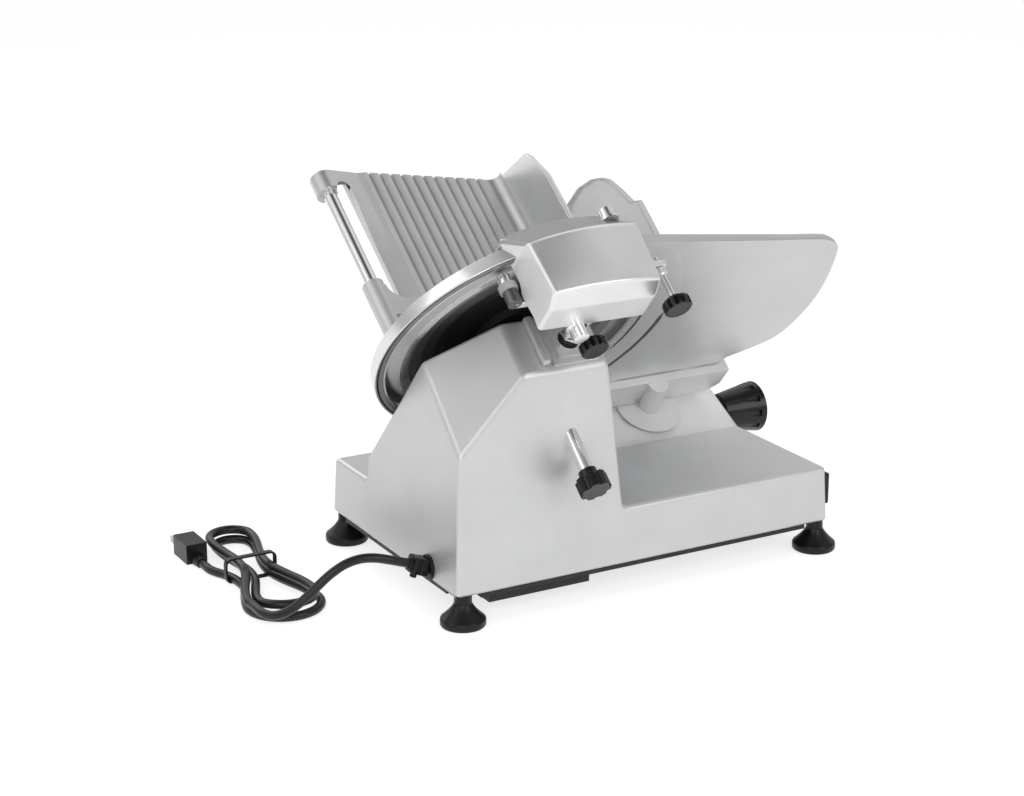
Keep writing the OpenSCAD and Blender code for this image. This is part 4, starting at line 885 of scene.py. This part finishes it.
def end_plate(at, far, foot):
    """Closes an end from n = far to the near side; the rest of the rim shows the wall."""
    outer, inner = verts[0][at], verts[1][at]
    marks, inner_marks = shells[0][at], shells[1][at]
    first = next(k for k, p in enumerate(marks) if k > 3 and p[0] < far)
    last = next(k for k, p in enumerate(marks) if p[0] < marks[-1][0] + 11)
    for k in range(first):
        bm.faces.new([outer[k], outer[k + 1], inner[k + 1], inner[k]])
    feet = [{k: bm.verts.new(swept(p[k][0], p[k][1], foot(p[k][0]))) for k in range(first, last + 1)}
            for p in (marks, inner_marks)]
    for v, f in ((outer, feet[0]), (inner, feet[1])):
        for k in range(first, last):
            # The end plate's faces take the lighter copy of the casting: painted light
            bm.faces.new([v[k], v[k + 1], f[k + 1], f[k]]).material_index = END_LIGHT_PLACE
        bm.faces.new([f[last]] + v[last:]).material_index = END_LIGHT_PLACE
    for k in range(first, last):
        bm.faces.new([feet[0][k], feet[0][k + 1], feet[1][k + 1], feet[1][k]])
    bm.faces.new([outer[first], feet[0][first], feet[1][first], inner[first]])
    bm.faces.new([feet[0][last], outer[-1], inner[-1], feet[1][last]])


end_plate(0, 238, plate_foot)
end_plate(-1, 205, lambda n: SHARP_LOW)
block(bm, tn, (145, 190), (252, 355), (222.8, 226.5), 0.6)
block(bm, tn, (168, 174), (229, 251), (247, 259), 1.2)
block(bm, tn, (158, 171), (288, 305), (188, 203), 1.5)
turned(bm, rod_profile(188, 248, 12, 1.0), lambda x, y, h: tn(POST_N + x, POST_Y + y, h), 48)
PIN_Y, PIN_U, PIN_R, PIN_COLLAR = 317.0, 212.0, 7.8, 155.0
on_pin = along_n(PIN_Y, PIN_U)
turned(bm, rod_profile(PIN_COLLAR, 176, 11, 1.5), on_pin, 48)
places = [face.material_index for face in bm.faces]
housing = finished("piece_sharpener_housing", bm, "sharpener_housing", "sharp", 40)
# The far slope takes the darker copy of the casting (painted shade), and the end plates the lighter copy (painted
# light)
housing.data.materials.append(M["sharp_painted_shade"])
housing.data.materials.append(M["sharp_painted_light"])
for face, place in zip(housing.data.polygons, places):
    face.material_index = place

STONE_Y, STONE_U, STONE_R, STONE_N = 368.0, 215.0, 9.0, (190.0, 198.2)
on_stone = along_n(STONE_Y, STONE_U)
bm = bmesh.new()
turned(bm, rod_profile(*STONE_N, STONE_R, 1.4), on_stone, 48)
turned(bm, rod_profile(198, 207.5, 6.5, 0.8), on_stone, 48)
tint(finished("piece_grind_stone", bm, "grind_stone", "stone"), ["chrome"],
     lambda n, y, u, r: 0 if n > STONE_N[1] + 0.1 else None)

bm = bmesh.new()
turned(bm, rod_profile(131.5, 180, PIN_R, 0.7), on_pin, 48)
block(bm, tn, (176, 182), (PIN_Y, STONE_Y), (PIN_U - 4, PIN_U + 5), 1.0)
turned(bm, rod_profile(176, 190.5, 7.2, 0.6), on_stone, 40)
turned(bm, [(PIN_R, 143.5), (9.8, 143.5), (10.4, 144.2), (10.4, 155.5), (PIN_R, 155.5)], on_pin, 48)
# The spindle under the stone takes the darkest steel: painted shade
tint(finished("piece_grind_pin", bm, "grind_pin", "chrome"), ["painted_shade_steel"],
     lambda n, y, u, r: 0 if y > 355 and n < 190.6 else None)

HONE_Y, HONE_U, HONE_FROM, HONE_END = 259.5, 251.0, 228.5, 241.0
on_hone = along_n(HONE_Y, HONE_U)
bm = bmesh.new()
turned(bm, rod_profile(HONE_FROM, HONE_END, 7.2, 0.6), on_hone, 48)
turned(bm, [(6.6, HONE_FROM), (9, HONE_FROM), (9, 231.2), (8.6, 231.6), (6.6, 231.6)], on_hone, 48)
finished("piece_hone_pin", bm, "hone_pin", "chrome")
for node, mat, width in [("hone_stone", "stone", 0.4), ("start_button", "green", 0.8),
                         ("stop_button", "red", 0.8)]:
    dress(node, mat, width)
KNOB_R, KNOB_LEN, COLLAR_LEN, STUD_R, NUT_R = 13.5, 11.0, 3.0, 3.0, 6.0
FLUTES, FLUTE_STEPS = 12, 12


def fluted_section(r, h, deep, y, u):
    """Ring of a fluted knob at height h along n."""
    out = []
    for k in range(FLUTES * FLUTE_STEPS):
        a = 2 * pi * k / (FLUTES * FLUTE_STEPS)
        wave = max(0, cos(FLUTES * a))
        out.append(tn(h, y + (r - deep * wave) * cos(a), u + (r - deep * wave) * sin(a)))
    return out


def fluted_knob(node, n0, y, u, stud_end, nut):
    """Fluted knob from n0 on, its dished face towards the operator's left, on a bright stud."""
    bm = bmesh.new()
    loft(bm, [fluted_section(r, n0 + h, deep, y, u) for r, h, deep in (
        (KNOB_R - 3.5, 0.4, 0), (KNOB_R - 2.4, 0, 0), (KNOB_R - 1.2, 0.2, 0.3), (KNOB_R - 0.3, 0.9, 1.8),
        (KNOB_R, 1.8, 2.6), (KNOB_R, KNOB_LEN - 2.5, 2.6), (KNOB_R - 0.6, KNOB_LEN - 1.2, 2.2),
        (KNOB_R - 2.5, KNOB_LEN, 0.4))])
    place, top = along_n(y, u), n0 + KNOB_LEN
    turned(bm, rod_profile(top - 0.5, top + COLLAR_LEN, 6.5, 0.6), place, 32)
    turned(bm, rod_profile(top + 2, stud_end, STUD_R, 0.3), place, 24)
    if nut:
        turned(bm, rod_profile(*nut, NUT_R, 0.5), place, 6)
    tint(finished("piece_" + node, bm, node, "black"), ["chrome"],
         lambda n, yy, uu, r: 0 if n > top + COLLAR_LEN + 0.1 else None)


fluted_knob("clamp_knob", 127, 297, 194, 162, None)
fluted_knob("stop_knob", 122, 235, 253, 180, (161, 167))

# Bracket: outer strip, channel and plate, with the post's nut in a recess whose shade is painted black on a disc
bm = bmesh.new()
block(bm, tn, (146, 199), (319.5, 328.5), (148, 157), 3.0)
block(bm, tn, (150, 199), (307, 322), (148, 150), 0.3)
block(bm, tn, (151, 198), (268, 309), (148, 153), 0.5)
block(bm, tn, (144, 152), (268, 316), (148, 151.5), 0.8)
turned(bm, rod_profile(150, 153.25, 10.5, 0.2), lambda x, y, h: tn(168.5 + x, 292 + y, h), 40)
turned(bm, rod_profile(152, 158, 9.6, 1.6), lambda x, y, h: tn(POST_N + x, POST_Y + y, h), 6)
tint(finished("piece_sharpener_bracket", bm, "sharpener_bracket", "cast"), ["painted_shade_black", "chrome"],
     lambda n, y, u, r: 0 if 153.1 < u < 153.3 else 1 if u > 153.4 and y < 305 else None)

# Stage, lamps and world
FLOOR_HALF, FLOOR_TONE, FLOOR_GLOW, SKY_TONE = 14.0, 0.6, 0.72, 0.42


def seen_directly(nodes, links):
    """1 for camera, glossy and transmission rays, else 0."""
    path = nodes.new("ShaderNodeLightPath")
    total = None
    for name in ("Is Camera Ray", "Is Glossy Ray", "Is Transmission Ray"):
        if total is None:
            total = path.outputs[name]
            continue
        add = nodes.new("ShaderNodeMath")
        add.operation = "MAXIMUM"
        links.new(total, add.inputs[0])
        links.new(path.outputs[name], add.inputs[1])
        total = add.outputs["Value"]
    return total


def floor_material():
    """White to the eye and in reflections, and grey to the light, so that it keeps the shadow."""
    m, nodes, links, shader = new_material("floor")
    shader.inputs["Base Color"].default_value = (FLOOR_TONE, FLOOR_TONE, FLOOR_TONE, 1)
    shader.inputs["Roughness"].default_value = 0.9
    shader.inputs["Specular IOR Level"].default_value = 0.0
    shader.inputs["Emission Color"].default_value = (1, 1, 1, 1)
    scale = nodes.new("ShaderNodeMath")
    scale.operation = "MULTIPLY"
    scale.inputs[1].default_value = FLOOR_GLOW
    links.new(seen_directly(nodes, links), scale.inputs[0])
    links.new(scale.outputs["Value"], shader.inputs["Emission Strength"])
    return m


bm = bmesh.new()
corners = [bm.verts.new((x * FLOOR_HALF, y * FLOOR_HALF, 0)) for x, y in ((-1, -1), (1, -1), (1, 1), (-1, 1))]
bm.faces.new(corners)
mesh = bpy.data.meshes.new("floor")
bm.to_mesh(mesh)
bm.free()
floor = link("floor", mesh)
floor.data.materials.append(floor_material())

world = bpy.data.worlds.new("studio")
bpy.context.scene.world = world
world.use_nodes = True
wn, wl = world.node_tree.nodes, world.node_tree.links
background = wn["Background"]
where = wn.new("ShaderNodeTexCoord")
parts = wn.new("ShaderNodeSeparateXYZ")
wl.new(where.outputs["Generated"], parts.inputs["Vector"])
# What reflections see: tones from the horizon to the zenith, darker to the left and lighter to the right
WORLD_TONES = [(0.0, 0.35), (0.08, 0.38), (0.3, 0.58), (0.6, 0.55), (0.8, 0.72), (0.88, 0.75), (0.93, 0.5),
               (0.97, 0.16), (1.0, 0.08)]
SIDE_RANGE = {"From Min": -0.3, "From Max": 0.3, "To Min": 0.62, "To Max": 1.38}
heights = wn.new("ShaderNodeValToRGB")
while len(heights.color_ramp.elements) < len(WORLD_TONES):
    heights.color_ramp.elements.new(0.5)
for e, (at, tone) in zip(heights.color_ramp.elements, WORLD_TONES):
    e.position = at
    e.color = (tone, tone, tone, 1)
wl.new(parts.outputs["Z"], heights.inputs["Fac"])
choose = wn.new("ShaderNodeMix")
choose.data_type = "RGBA"
wl.new(seen_directly(wn, wl), choose.inputs["Factor"])
aside = wn.new("ShaderNodeMapRange")
for name, value in SIDE_RANGE.items():
    aside.inputs[name].default_value = value
wl.new(parts.outputs["X"], aside.inputs["Value"])
scaled = wn.new("ShaderNodeVectorMath")
scaled.operation = "SCALE"
wl.new(heights.outputs["Color"], scaled.inputs[0])
wl.new(aside.outputs["Result"], scaled.inputs["Scale"])
colour_in = {s.name: s for s in choose.inputs if s.type == "RGBA"}
colour_in["A"].default_value = (SKY_TONE, SKY_TONE, SKY_TONE, 1)
wl.new(scaled.outputs["Vector"], colour_in["B"])
wl.new([s for s in choose.outputs if s.type == "RGBA"][0], background.inputs["Color"])


def lamp(name, at, aim, size, power):
    """Square area lamp at a place, turned to its aim."""
    data = bpy.data.lights.new(name, "AREA")
    data.shape = "SQUARE"
    data.size = size
    data.energy = power
    obj = link(name, data)
    obj.location = at
    obj.rotation_mode = "QUATERNION"
    obj.rotation_quaternion = (Vector(aim) - Vector(at)).to_track_quat("-Z", "Y")
    obj.visible_camera = False


lamp("key", (-2.6, -0.9, 1.5), (0, 0, 0.15), 1.6, 21)
lamp("fill", (2.4, 0.6, 1.7), (0, 0, 0.15), 1.6, 10)
lamp("rear", (0, 2.6, 1.7), (0, 0, 0.2), 1.6, 8)
lamp("near", (-2.0, 1.7, 1.2), (0, 0, 0.15), 1.4, 17)
bpy.context.scene.view_settings.view_transform = "Standard"
